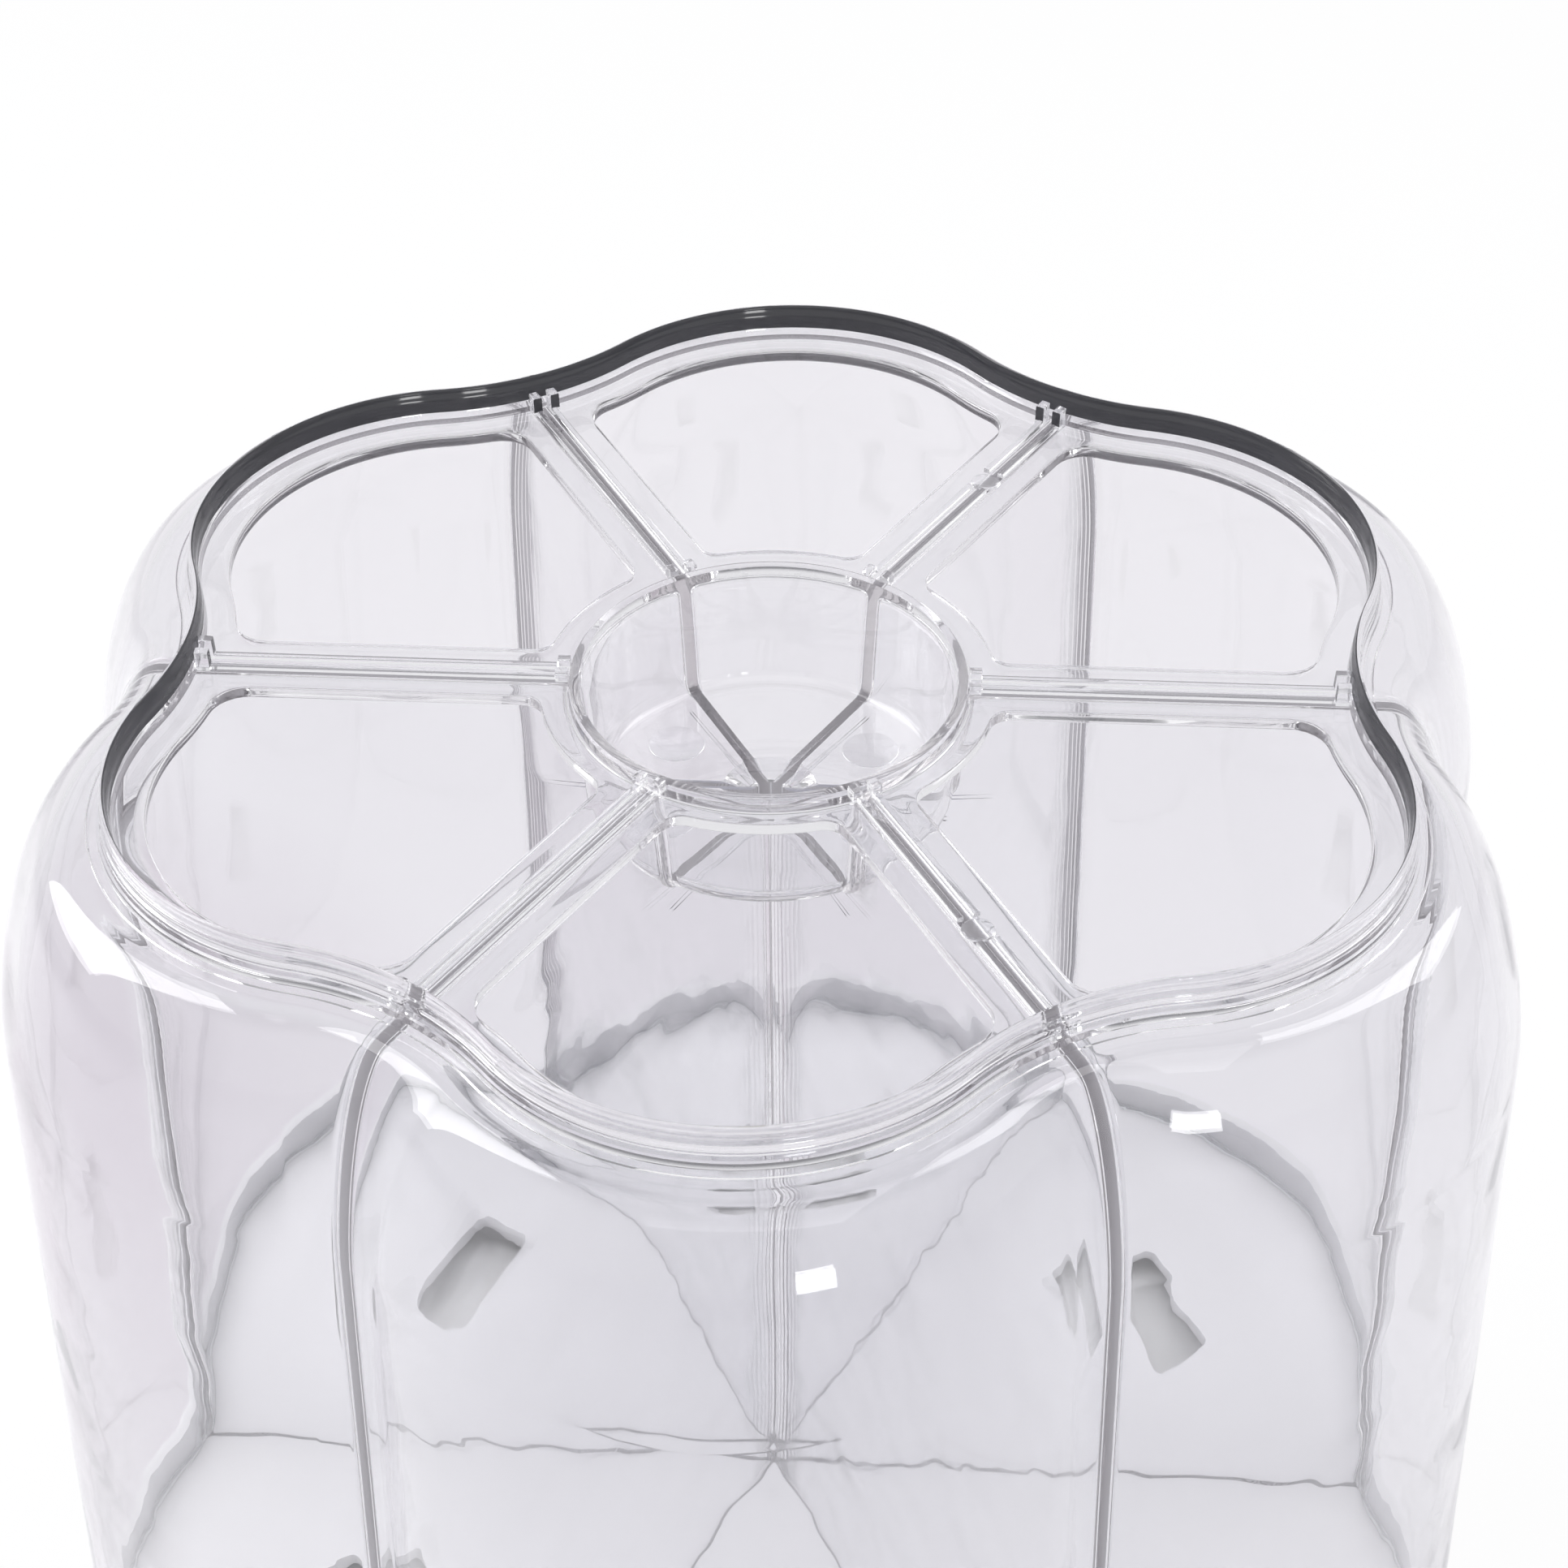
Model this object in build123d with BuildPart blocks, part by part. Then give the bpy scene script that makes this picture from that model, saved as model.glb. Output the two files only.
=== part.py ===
from build123d import *
import os
from math import atan2, cos, degrees, hypot, radians, sin, sqrt, tan

os.makedirs("parts", exist_ok=True)

# Rotating dry food dispenser in millimetres.
# The table is z = 0, the turning axis is Z, and the button and spout face -Y.

# Heights above the table
total_height = 323.0
rim_height = 7.8
shell_foot_z = 90.0
turntable_gap = 4.0
foot_lift = 3.0

# Hopper: six lobes round the axis
compartments = 6
rim_peak_radius = 125.0
rim_valley_radius = 108.2
rim_lobe_centre = 75.7
ledge_peak_radius = 131.5
ledge_valley_radius = 112.5
body_lobe_centre = 79.3
wall = 2.4
shoulder_radii = (9.2, 65.0, 107.0)
shoulder_turns = (57.2, 17.4, 10.0)
skirt_draft = 2.2
wall_lap = 4.0
divider_thickness = 2.2
hub_fillet = 2.0

# Top plate of the hopper
rim_thickness = 1.4
rim_band_thickness = 2.2
rim_band_height = 3.6
rim_round = 0.6
window_inset = 5.8
window_side = 7.5
window_inner_radius = 43.0
window_outer_round = 7.0
window_inner_round = 4.0
rib_width = 1.3
rib_pitch = 3.0
rib_height = 1.0
tooth_length = 3.0
tooth_height = 4.2
gate_mark_radius = 3.0
gate_mark_height = 0.5
gate_mark_place = 80.0
gate_mark_turns = (60, 300)

# Bowl in the middle of the top plate
bowl_mouth_radius = 35.5
bowl_floor_radius = 33.3
bowl_wall = 2.0
bowl_floor = 2.3
bowl_depth = 25.9
collar_height = 1.2
bowl_inner_round = 2.5
bowl_outer_round = 4.5
pin_mark_radius = 5.5
pin_mark_depth = 0.3
pin_mark_place = 21.9
pin_mark_turns = (30, 150, 210, 330)

# Turntable that closes the hopper from below
turntable_thickness = 4.0
lip_gap = 0.3
lip_thickness = 2.6
lip_height = 8.0
gasket_width = 3.6
gasket_thickness = 1.5
outlet_width = 36.0
outlet_length = 18.0
outlet_round = 3.0
outlet_place = 100.0
outlet_margin = 0.5

# Spindle and its bearing
spindle_radius = 6.0
flange_radius = 18.0
flange_thickness = 3.0
flange_screw_place = 12.5
bush_wall = 2.0
bush_collar = 3.0
bush_collar_thickness = 0.7
hub_radius = 14.0
hub_bottom_z = 57.0
washer_radius = 10.5
washer_thickness = 1.5
shaft_overhang = 0.4

# Detent that finds the six stops
detent_place = 40.0
detent_ring_width = 12.0
detent_ring_thickness = 2.0
notch_radius = 2.4
ring_screw_place = 40.0
plunger_radius = 2.95
plunger_length = 14.0
plunger_travel = 1.5
detent_boss_radius = 6.5
detent_boss_bottom_z = 58.0
detent_cap_height = 3.0
detent_wire = 0.5
cap_plug_gap = 0.1
cap_head = 1.5

# Base
base_foot_radius = 142.0
base_top_radius = 134.0
base_top_z = 84.0
base_wall = 3.0
base_plate_thickness = 3.0
base_plate_gap = 0.4
deck_thickness = 4.0
post_radius = 5.0
post_inset = 13.6
post_rib = 3.0
foot_radius = 9.0
foot_inset = 24.0
foot_sink = 1.5
bay_half_width = 45.0
bay_centre = -100.0
bay_ceiling_z = 59.5
bay_wall = 2.5
bay_round = 8.0
glide_ring_inner = 64.0
glide_ring_outer = 76.0
glide_pad_radius = 5.0
glide_pad_inset = 7.8
glide_pad_turn = 7.5
glide_pad_sink = 1.5
seal_width = 4.5
seal_sink = 1.0

# Gate, chute and button
gate_stroke = 20.0
gate_thickness = 3.0
gate_half_width = 22.7
gate_lead = 48.7
gate_end_gap = 1.0
gate_tail = 4.0
gate_tail_height = 7.0
gate_tongue = 12.0
gate_tongue_half_width = 12.0
gate_window_length = 18.6
channel_roof = 4.0
block_half_width = 31.0
block_lip = 4.0
block_tail = 21.0
block_depth = 12.0
block_screw_inset = 4.2
spout_wall = 2.0
spout_mouth_width = 28.0
spout_mouth_length = 15.0
spout_drop = 21.5
button_half_width = 26.0
button_height = 10.0
button_depth = 24.0
button_round = 3.0
bezel_wall = 2.6
bezel_stand = 3.4
bezel_deck_gap = 1.8
bezel_flange = 3.0
bezel_lip = 1.6
spring_radius = 3.5
spring_wire = 0.7
spring_spread = 30.0
spring_length = 36.0
bracket_thickness = 4.0
bracket_half_width = 23.0
bracket_height = 9.0
bracket_ear = 9.0
bracket_ear_thickness = 3.0
guide_pin_radius = 1.7
guide_pin_length = 12.0

# Fasteners: shank radius, head radius, head height
small_shank = 1.2
small_head = 2.4
small_head_height = 1.3
large_shank = 1.5
large_head = 2.9
large_head_height = 1.8
screw_bite = 9.0
chute_screw_length = 8.0
ring_screw_length = 3.4
bracket_screw_length = 6.0
blind_floor = 1.0

# Clearances
running_gap = 0.3
sliding_gap = 0.2
bearing_gap = 0.05
thread_gap = 0.05
through_gap = 0.2
seat_gap = 0.1
same_place = 0.01

# Heights and outlines that follow from the sizes above
plate_z = total_height - rim_height
turntable_z = shell_foot_z - turntable_thickness
deck_z = turntable_z - turntable_gap
deck_under_z = deck_z - deck_thickness
base_plate_z = foot_lift
base_plate_top = base_plate_z + base_plate_thickness
sector = 360.0 / compartments
half_sector = sector / 2
glide_height = turntable_gap - running_gap
base_slope = (base_foot_radius - base_top_radius) / (base_top_z - base_plate_z)
base_wall_across = base_wall * sqrt(1 + base_slope**2)


def base_radius(z):
    """Outer radius of the base at a height."""
    return base_foot_radius - base_slope * (z - base_plate_z)


deck_radius = base_radius(deck_z) - base_wall_across - base_plate_gap
post_place = base_radius(deck_under_z) - post_inset
foot_place = base_foot_radius - foot_inset
glide_pad_place = deck_radius - glide_pad_inset
spout_centre = -outlet_place
spout_bottom_z = deck_under_z - spout_drop
gate_z = deck_under_z - channel_roof - gate_thickness
block_front = spout_centre - outlet_length / 2 - block_lip
block_back = spout_centre + outlet_length / 2 + block_tail
gate_front = block_front - gate_end_gap - gate_stroke
window_rest = spout_centre - gate_stroke
gate_back = window_rest + gate_window_length / 2 + gate_lead
bracket_y = gate_back + spring_length
button_front = gate_front - button_depth
button_z = gate_z + (gate_thickness - button_height) / 2
bezel_centre_z = button_z + button_height / 2
bezel_front = -(base_radius(bezel_centre_z) + bezel_stand)
bezel_back = -(deck_radius + bezel_deck_gap)
bezel_hole_width = 2 * (button_half_width + sliding_gap)
bezel_hole_height = button_height + 2 * sliding_gap


def shoulder_span():
    """Way out and way down of the three arcs of the shoulder."""
    heading = 0.0
    out = 0.0
    down = 0.0
    for radius, turn in zip(shoulder_radii, shoulder_turns):
        out += radius * (sin(radians(heading + turn)) - sin(radians(heading)))
        down += radius * (cos(radians(heading)) - cos(radians(heading + turn)))
        heading += turn
    return out, down


shoulder_out, shoulder_down = shoulder_span()
skirt_height = plate_z - shoulder_down - shell_foot_z
foot_flare = shoulder_out + skirt_height * tan(radians(skirt_draft))


def lobe_geometry(peak, valley, centre):
    """Valley arc's radius, its centre's distance, and the half angle it sweeps."""
    along = centre * cos(radians(half_sector))
    across = centre * sin(radians(half_sector))
    lobe = peak - centre
    dip = ((valley - along) ** 2 + across ** 2 - lobe ** 2) / (2 * (lobe - valley + along))
    swing = degrees(atan2(across, valley + dip - along))
    return dip, valley + dip, swing


def polar(radius, turn):
    """Point at a radius and an angle about the axis."""
    return radius * cos(radians(turn)), radius * sin(radians(turn))


def lobed_outline(peak, valley, centre):
    """Six lobe arcs joined by tangent valley arcs; a valley lies on the X axis."""
    dip, dip_centre, swing = lobe_geometry(peak, valley, centre)
    reach = half_sector + swing
    for k in range(compartments):
        turn = sector * k
        CenterArc(polar(dip_centre, turn), dip, turn + 180 + swing, -2 * swing)
        CenterArc(polar(centre, turn + half_sector), peak - centre, turn + half_sector - reach, 2 * reach)


def rim_outline(offset):
    """The rim's inner outline moved outward by an offset."""
    lobed_outline(rim_peak_radius + offset, rim_valley_radius + offset, rim_lobe_centre)


def body_outline(offset):
    """The outline of the ledge under the rim moved outward by an offset."""
    lobed_outline(ledge_peak_radius + offset, ledge_valley_radius + offset, body_lobe_centre)


def wall_curve(edge, way, depth):
    """Shoulder and skirt of the hopper wall at a depth under its skin, from the ledge down."""
    bends = [JernArc((edge, plate_z - depth), (way, 0), shoulder_radii[0] - depth, -way * shoulder_turns[0])]
    for radius, turn in zip(shoulder_radii[1:], shoulder_turns[1:]):
        bends.append(JernArc(bends[-1] @ 1, bends[-1] % 1, radius - depth, -way * turn))
    foot = Vector(edge + way * (foot_flare - depth / cos(radians(skirt_draft))), shell_foot_z)
    Line(bends[-1] @ 1, foot)
    return bends[0] @ 0, foot


def wall_section(edge, way):
    """Closed section of the hopper wall, with a flat lap under the top plate."""
    outer_top, outer_foot = wall_curve(edge, way, 0)
    inner_top, inner_foot = wall_curve(edge, way, wall)
    lap = Vector(way * wall_lap, 0)
    Polyline(outer_top, outer_top - lap, inner_top - lap, inner_top)
    Line(outer_foot, inner_foot)


def divider_section():
    """Closed section of one divider, from the axis to the middle of the outer wall."""
    top, foot = wall_curve(ledge_valley_radius, 1, wall / 2)
    bowl_side = bowl_mouth_radius + bowl_wall / 2
    bowl_bottom = plate_z + collar_height - bowl_depth - bowl_floor / 2
    floor_side = bowl_floor_radius + bowl_wall / 2
    Polyline(
        top,
        (bowl_side, top.Y),
        (floor_side, bowl_bottom + bowl_inner_round),
        (floor_side - bowl_inner_round, bowl_bottom),
        (0, bowl_bottom),
        (0, shell_foot_z),
        foot,
    )


def screw(shank, length, head, head_height):
    """Pan head screw with a hexagon socket, its seat at z = 0 and its shank down."""
    with BuildPart() as made:
        with BuildSketch():
            Circle(shank)
        extrude(amount=-length)
        with BuildSketch():
            Circle(head)
        extrude(amount=head_height)
        fillet(made.faces().sort_by(Axis.Z)[-1].edges(), head_height / 3)
        with BuildSketch(Plane.XY.offset(head_height)):
            RegularPolygon(head / 2, 6)
        extrude(amount=-head_height / 2, mode=Mode.SUBTRACT)
    return made.part


def save(piece, name):
    """Label a finished piece and write its file."""
    piece.part.label = name
    export_step(piece.part, f"parts/{name}.step")


large_screw = screw(large_shank, screw_bite + deck_thickness / 2, large_head, large_head_height)
small_screw = screw(small_shank, screw_bite / 2, small_head, small_head_height)

# Hopper shell: one clear moulding, open below, with six compartments
dip_radius, dip_centre_place, dip_swing = lobe_geometry(ledge_peak_radius, ledge_valley_radius, body_lobe_centre)
lobe_reach = half_sector + dip_swing

with BuildPart() as lobe_wall:
    with BuildSketch(Plane.XZ):
        with BuildLine():
            wall_section(ledge_peak_radius - body_lobe_centre, 1)
        make_face()
    revolve(axis=Axis.Z, revolution_arc=2 * lobe_reach)

with BuildPart() as valley_wall:
    with BuildSketch(Plane.XZ):
        with BuildLine():
            wall_section(dip_radius, -1)
        make_face()
    revolve(axis=Axis.Z, revolution_arc=2 * dip_swing)

with BuildPart() as divider:
    with BuildSketch(Plane.XZ):
        with BuildLine():
            divider_section()
        make_face()
    extrude(amount=divider_thickness / 2, both=True)

window_middle = (window_inner_radius + rim_valley_radius) / 2


def beside_bar(vertex):
    """True at a window corner that lies on the edge of the bar over a divider."""
    turn = degrees(atan2(vertex.Y, vertex.X)) % sector
    side = hypot(vertex.X, vertex.Y) * sin(radians(min(turn, sector - turn)))
    return abs(side - window_side) < same_place


with BuildPart() as hopper_shell:
    for k in range(compartments):
        lobe_turn = sector * k + half_sector
        valley_turn = sector * k
        with Locations(Location((*polar(body_lobe_centre, lobe_turn), 0), (0, 0, lobe_turn - lobe_reach))):
            add(lobe_wall.part)
        with Locations(Location((*polar(dip_centre_place, valley_turn), 0), (0, 0, valley_turn + 180 - dip_swing))):
            add(valley_wall.part)
    # Top plate
    with BuildSketch(Plane.XY.offset(plate_z)):
        with BuildLine():
            body_outline(-wall_lap / 2)
        make_face()
    extrude(amount=-wall)
    # Dividers and the rounded corners where they meet
    with PolarLocations(0, compartments):
        add(divider.part)
    with BuildSketch(Plane.XY.offset(shell_foot_z)) as hub_star:
        with PolarLocations(0, compartments // 2):
            Rectangle(8 * hub_fillet, divider_thickness)
        fillet(hub_star.vertices().filter_by(lambda v: hypot(v.X, v.Y) < 2 * divider_thickness), hub_fillet)
    extrude(amount=plate_z + collar_height - bowl_depth - bowl_floor / 2 - shell_foot_z)
    # Windows
    with BuildSketch(Plane.XY.offset(plate_z)) as windows:
        with BuildLine():
            rim_outline(-window_inset)
        make_face()
        Circle(window_inner_radius, mode=Mode.SUBTRACT)
        with PolarLocations(0, compartments // 2):
            Rectangle(3 * rim_peak_radius, 2 * window_side, mode=Mode.SUBTRACT)
        corners = windows.vertices().filter_by(beside_bar)
        fillet(corners.filter_by(lambda v: hypot(v.X, v.Y) > window_middle), window_outer_round)
        corners = windows.vertices().filter_by(beside_bar)
        fillet(corners.filter_by(lambda v: hypot(v.X, v.Y) < window_middle), window_inner_round)
    extrude(amount=-wall, mode=Mode.SUBTRACT)
    # Rim: a thin upper band on a thicker lower band
    with BuildSketch(Plane.XY.offset(plate_z)):
        with BuildLine():
            rim_outline(rim_band_thickness)
        make_face()
        with BuildLine():
            rim_outline(0)
        make_face(mode=Mode.SUBTRACT)
    extrude(amount=rim_band_height)
    with BuildSketch(Plane.XY.offset(plate_z)):
        with BuildLine():
            rim_outline(rim_thickness)
        make_face()
        with BuildLine():
            rim_outline(0)
        make_face(mode=Mode.SUBTRACT)
    extrude(amount=rim_height)
    # Twin ribs and their end teeth
    with BuildSketch(Plane.XY.offset(plate_z)):
        with PolarLocations(0, compartments):
            with Locations(((bowl_mouth_radius + bowl_wall / 2 + rim_valley_radius) / 2, 0)):
                with GridLocations(0, rib_pitch, 1, 2):
                    Rectangle(rim_valley_radius + seat_gap - bowl_mouth_radius - bowl_wall / 2, rib_width)
    extrude(amount=rib_height)
    with BuildSketch(Plane.XY.offset(plate_z)):
        with PolarLocations(0, compartments):
            with Locations((rim_valley_radius - tooth_length / 2 + seat_gap, 0)):
                with GridLocations(0, rib_pitch, 1, 2):
                    Rectangle(tooth_length, rib_width)
    extrude(amount=tooth_height)
    with BuildSketch(Plane.XY.offset(plate_z)):
        with Locations(*[polar(gate_mark_place, turn) for turn in gate_mark_turns]):
            Circle(gate_mark_radius)
    extrude(amount=rib_height + gate_mark_height)
    # Bowl
    with BuildSketch(Plane.XY.offset(plate_z + collar_height)):
        Circle(bowl_mouth_radius + bowl_wall / 2)
    extrude(amount=-(collar_height + wall), mode=Mode.SUBTRACT)
    with BuildSketch(Plane.XZ) as bowl_section:
        with BuildLine():
            Polyline(
                (0, plate_z + collar_height - bowl_depth),
                (bowl_floor_radius, plate_z + collar_height - bowl_depth),
                (bowl_mouth_radius, plate_z + collar_height),
                (bowl_mouth_radius + bowl_wall, plate_z + collar_height),
                (bowl_floor_radius + bowl_wall, plate_z + collar_height - bowl_depth - bowl_floor),
                (0, plate_z + collar_height - bowl_depth - bowl_floor),
                close=True,
            )
        make_face()
        low = bowl_section.vertices().filter_by(lambda v: v.Y < plate_z and v.X > bowl_wall)
        fillet(low.sort_by(Axis.Y)[-1], bowl_inner_round)
        low = bowl_section.vertices().filter_by(lambda v: v.Y < plate_z and v.X > bowl_wall)
        fillet(low.sort_by(Axis.Y)[0], bowl_outer_round)
    revolve(axis=Axis.Z)
    with BuildSketch(Plane.XY.offset(plate_z + collar_height - bowl_depth)):
        with Locations(*[polar(pin_mark_place, turn) for turn in pin_mark_turns]):
            Circle(pin_mark_radius)
    extrude(amount=-pin_mark_depth, mode=Mode.SUBTRACT)
save(hopper_shell, "hopper_shell")

# Turntable: white floor with one outlet under each compartment
with BuildPart() as turntable:
    with BuildSketch(Plane.XY.offset(turntable_z)):
        with BuildLine():
            body_outline(foot_flare + lip_gap + lip_thickness)
        make_face()
    extrude(amount=turntable_thickness + lip_height)
    with BuildSketch(Plane.XY.offset(shell_foot_z)):
        with BuildLine():
            body_outline(foot_flare + lip_gap)
        make_face()
    extrude(amount=lip_height, mode=Mode.SUBTRACT)
    with BuildSketch(Plane.XY.offset(shell_foot_z)):
        with BuildLine():
            body_outline(foot_flare + (gasket_width - wall) / 2 + seat_gap)
        make_face()
        with BuildLine():
            body_outline(foot_flare - (gasket_width + wall) / 2 - seat_gap)
        make_face(mode=Mode.SUBTRACT)
    extrude(amount=-gasket_thickness, mode=Mode.SUBTRACT)
    with BuildSketch(Plane.XY.offset(turntable_z)):
        with PolarLocations(outlet_place, compartments, half_sector):
            RectangleRounded(outlet_length - outlet_margin, outlet_width - outlet_margin, outlet_round)
    extrude(amount=turntable_thickness, mode=Mode.SUBTRACT)
    with BuildSketch(Plane.XY.offset(turntable_z)):
        with PolarLocations(flange_screw_place, compartments // 2, half_sector):
            Circle(small_shank + thread_gap)
        with PolarLocations(ring_screw_place, compartments):
            Circle(small_shank + thread_gap)
    extrude(amount=turntable_thickness - blind_floor, mode=Mode.SUBTRACT)
    fillet(turntable.faces().sort_by(Axis.Z)[0].outer_wire().edges(), lip_thickness / 2)
save(turntable, "turntable")

with BuildPart() as shell_gasket:
    with BuildSketch(Plane.XY.offset(shell_foot_z)):
        with BuildLine():
            body_outline(foot_flare + (gasket_width - wall) / 2)
        make_face()
        with BuildLine():
            body_outline(foot_flare - (gasket_width + wall) / 2)
        make_face(mode=Mode.SUBTRACT)
    extrude(amount=-gasket_thickness)
save(shell_gasket, "shell_gasket")

# Spindle: flanged steel pin under the turntable, held below the hub by a washer and a screw
flange_z = turntable_z - flange_thickness
shaft_end_z = hub_bottom_z - shaft_overhang

with BuildPart() as spindle:
    with BuildSketch(Plane.XY.offset(turntable_z)):
        Circle(flange_radius)
    extrude(amount=-flange_thickness)
    with BuildSketch(Plane.XY.offset(flange_z)):
        Circle(spindle_radius)
    extrude(amount=shaft_end_z - flange_z)
    chamfer(spindle.edges().sort_by(Axis.Z)[0], shaft_overhang)
    with Locations(Location((0, 0, flange_z), (180, 0, 0))):
        with PolarLocations(flange_screw_place, compartments // 2, -half_sector):
            CounterBoreHole(small_shank + through_gap, small_head + through_gap, small_head_height)
    with BuildSketch(Plane.XY.offset(shaft_end_z)):
        Circle(large_shank + thread_gap)
    extrude(amount=screw_bite + deck_thickness, mode=Mode.SUBTRACT)
save(spindle, "spindle")

with BuildPart() as spindle_screws:
    with Locations(Location((0, 0, flange_z + small_head_height), (180, 0, 0))):
        with PolarLocations(flange_screw_place, compartments // 2, -half_sector):
            add(small_screw)
save(spindle_screws, "spindle_screws")

with BuildPart() as retaining_washer:
    with BuildSketch(Plane.XY.offset(shaft_end_z)):
        Circle(washer_radius)
        Circle(large_shank + through_gap, mode=Mode.SUBTRACT)
    extrude(amount=-washer_thickness)
save(retaining_washer, "retaining_washer")

with BuildPart() as retaining_screw:
    with Locations(Location((0, 0, shaft_end_z - washer_thickness), (180, 0, 0))):
        add(large_screw)
save(retaining_screw, "retaining_screw")

# Detent ring: six notches that stop a compartment over the chute
with BuildPart() as detent_ring:
    with BuildSketch(Plane.XY.offset(turntable_z)):
        Circle(detent_place + detent_ring_width / 2)
        Circle(detent_place - detent_ring_width / 2, mode=Mode.SUBTRACT)
        with PolarLocations(detent_place, compartments, half_sector):
            Circle(notch_radius, mode=Mode.SUBTRACT)
        with PolarLocations(ring_screw_place, compartments):
            Circle(small_shank + through_gap, mode=Mode.SUBTRACT)
    extrude(amount=-detent_ring_thickness)
    with BuildSketch(Plane.XY.offset(turntable_z - detent_ring_thickness)):
        with PolarLocations(ring_screw_place, compartments):
            Circle(small_head + through_gap)
    extrude(amount=small_head_height, mode=Mode.SUBTRACT)
save(detent_ring, "detent_ring")

with BuildPart() as detent_ring_screws:
    ring_screw_seat = turntable_z - detent_ring_thickness + small_head_height
    with Locations(Location((0, 0, ring_screw_seat), (180, 0, 0))):
        with PolarLocations(ring_screw_place, compartments):
            add(screw(small_shank, ring_screw_length, small_head, small_head_height))
save(detent_ring_screws, "detent_ring_screws")

# Base housing: white tapered drum on posts, with a bay for a cup
with BuildPart() as base_form:
    with BuildSketch(Plane.XZ):
        with BuildLine():
            Polyline(
                (0, base_plate_z),
                (base_foot_radius, base_plate_z),
                (base_top_radius, base_top_z),
                (0, base_top_z),
                close=True,
            )
        make_face()
    revolve(axis=Axis.Z)

with BuildPart() as bay_room:
    with BuildSketch(Plane.XY.offset(base_plate_z)):
        with Locations((0, bay_centre)):
            Circle(bay_half_width)
        with Locations((0, bay_centre - base_foot_radius / 2)):
            Rectangle(2 * bay_half_width, base_foot_radius)
    extrude(amount=bay_ceiling_z - base_plate_z)
    fillet(bay_room.faces().sort_by(Axis.Z)[-1].edges(), bay_round)

with BuildPart() as bay_shell:
    with BuildSketch(Plane.XY.offset(base_plate_top)):
        with Locations((0, bay_centre)):
            Circle(bay_half_width + bay_wall)
        with Locations((0, bay_centre - base_foot_radius / 2)):
            Rectangle(2 * (bay_half_width + bay_wall), base_foot_radius)
    extrude(amount=bay_ceiling_z + bay_wall - base_plate_top)
    fillet(bay_shell.faces().sort_by(Axis.Z)[-1].edges(), bay_round + bay_wall)
    add(base_form.part, mode=Mode.INTERSECT)

with BuildPart() as base_housing:
    with BuildSketch(Plane.XZ):
        with BuildLine():
            Polyline(
                (base_foot_radius - base_wall_across, base_plate_z),
                (base_foot_radius, base_plate_z),
                (base_top_radius, base_top_z),
                (base_top_radius - base_wall_across, base_top_z),
                close=True,
            )
        make_face()
    revolve(axis=Axis.Z)
    add(bay_shell.part)
    with BuildSketch(Plane.XY.offset(base_plate_top)):
        with PolarLocations(post_place, compartments):
            Circle(post_radius)
        with PolarLocations(post_place + post_radius, compartments):
            with Locations(((base_radius(deck_under_z) - post_place - post_radius - base_wall) / 2, 0)):
                Rectangle(base_radius(deck_under_z) - post_place - post_radius, post_rib)
    extrude(amount=deck_under_z - base_plate_top)
    add(bay_room.part, mode=Mode.SUBTRACT)
    with BuildSketch(Plane.XY.offset(bay_ceiling_z)):
        with Locations((0, spout_centre)):
            Rectangle(
                spout_mouth_width + 4 * spout_wall + 2 * seat_gap,
                spout_mouth_length + 4 * spout_wall + 2 * seat_gap,
            )
    extrude(amount=bay_wall, mode=Mode.SUBTRACT)
    with BuildSketch(Plane.XZ.offset(post_place)):
        with Locations((0, bezel_centre_z)):
            Rectangle(bezel_hole_width + 2 * (bezel_wall + seat_gap), bezel_hole_height + 2 * (bezel_wall + seat_gap))
    extrude(amount=3 * post_inset, mode=Mode.SUBTRACT)
    with BuildSketch(Plane.XY.offset(base_plate_top)):
        with PolarLocations(post_place, compartments):
            Circle(large_shank + thread_gap)
    extrude(amount=screw_bite + deck_thickness, mode=Mode.SUBTRACT)
    with BuildSketch(Plane.XY.offset(deck_under_z)):
        with PolarLocations(post_place, compartments):
            Circle(large_shank + thread_gap)
    extrude(amount=-(screw_bite + deck_thickness), mode=Mode.SUBTRACT)
save(base_housing, "base_housing")

with BuildPart() as base_plate:
    with BuildSketch(Plane.XY.offset(base_plate_z)):
        Circle(base_foot_radius - base_wall_across - base_plate_gap)
    extrude(amount=base_plate_thickness)
    with Locations(Location((0, 0, base_plate_z), (180, 0, 0))):
        with PolarLocations(post_place, compartments):
            CounterBoreHole(large_shank + through_gap, large_head + through_gap, large_head_height)
        with PolarLocations(foot_place, compartments, half_sector):
            Hole(foot_radius + seat_gap, foot_sink)
save(base_plate, "base_plate")

with BuildPart() as base_plate_screws:
    with Locations(Location((0, 0, base_plate_z + large_head_height), (180, 0, 0))):
        with PolarLocations(post_place, compartments):
            add(large_screw)
save(base_plate_screws, "base_plate_screws")

with BuildPart() as rubber_feet:
    with BuildSketch():
        with PolarLocations(foot_place, compartments, half_sector):
            Circle(foot_radius)
    extrude(amount=base_plate_z + foot_sink)
    fillet(rubber_feet.edges().group_by(Axis.Z)[0], foot_sink)
save(rubber_feet, "rubber_feet")

# Deck: fixed floor under the turntable, with the hub, the chute opening and the glide seats
bush_radius = spindle_radius + bearing_gap + bush_wall
detent_bore = plunger_radius + sliding_gap
seal_inner_length = outlet_length + 2 * outlet_margin
seal_inner_width = outlet_width + 2 * outlet_margin

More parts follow.
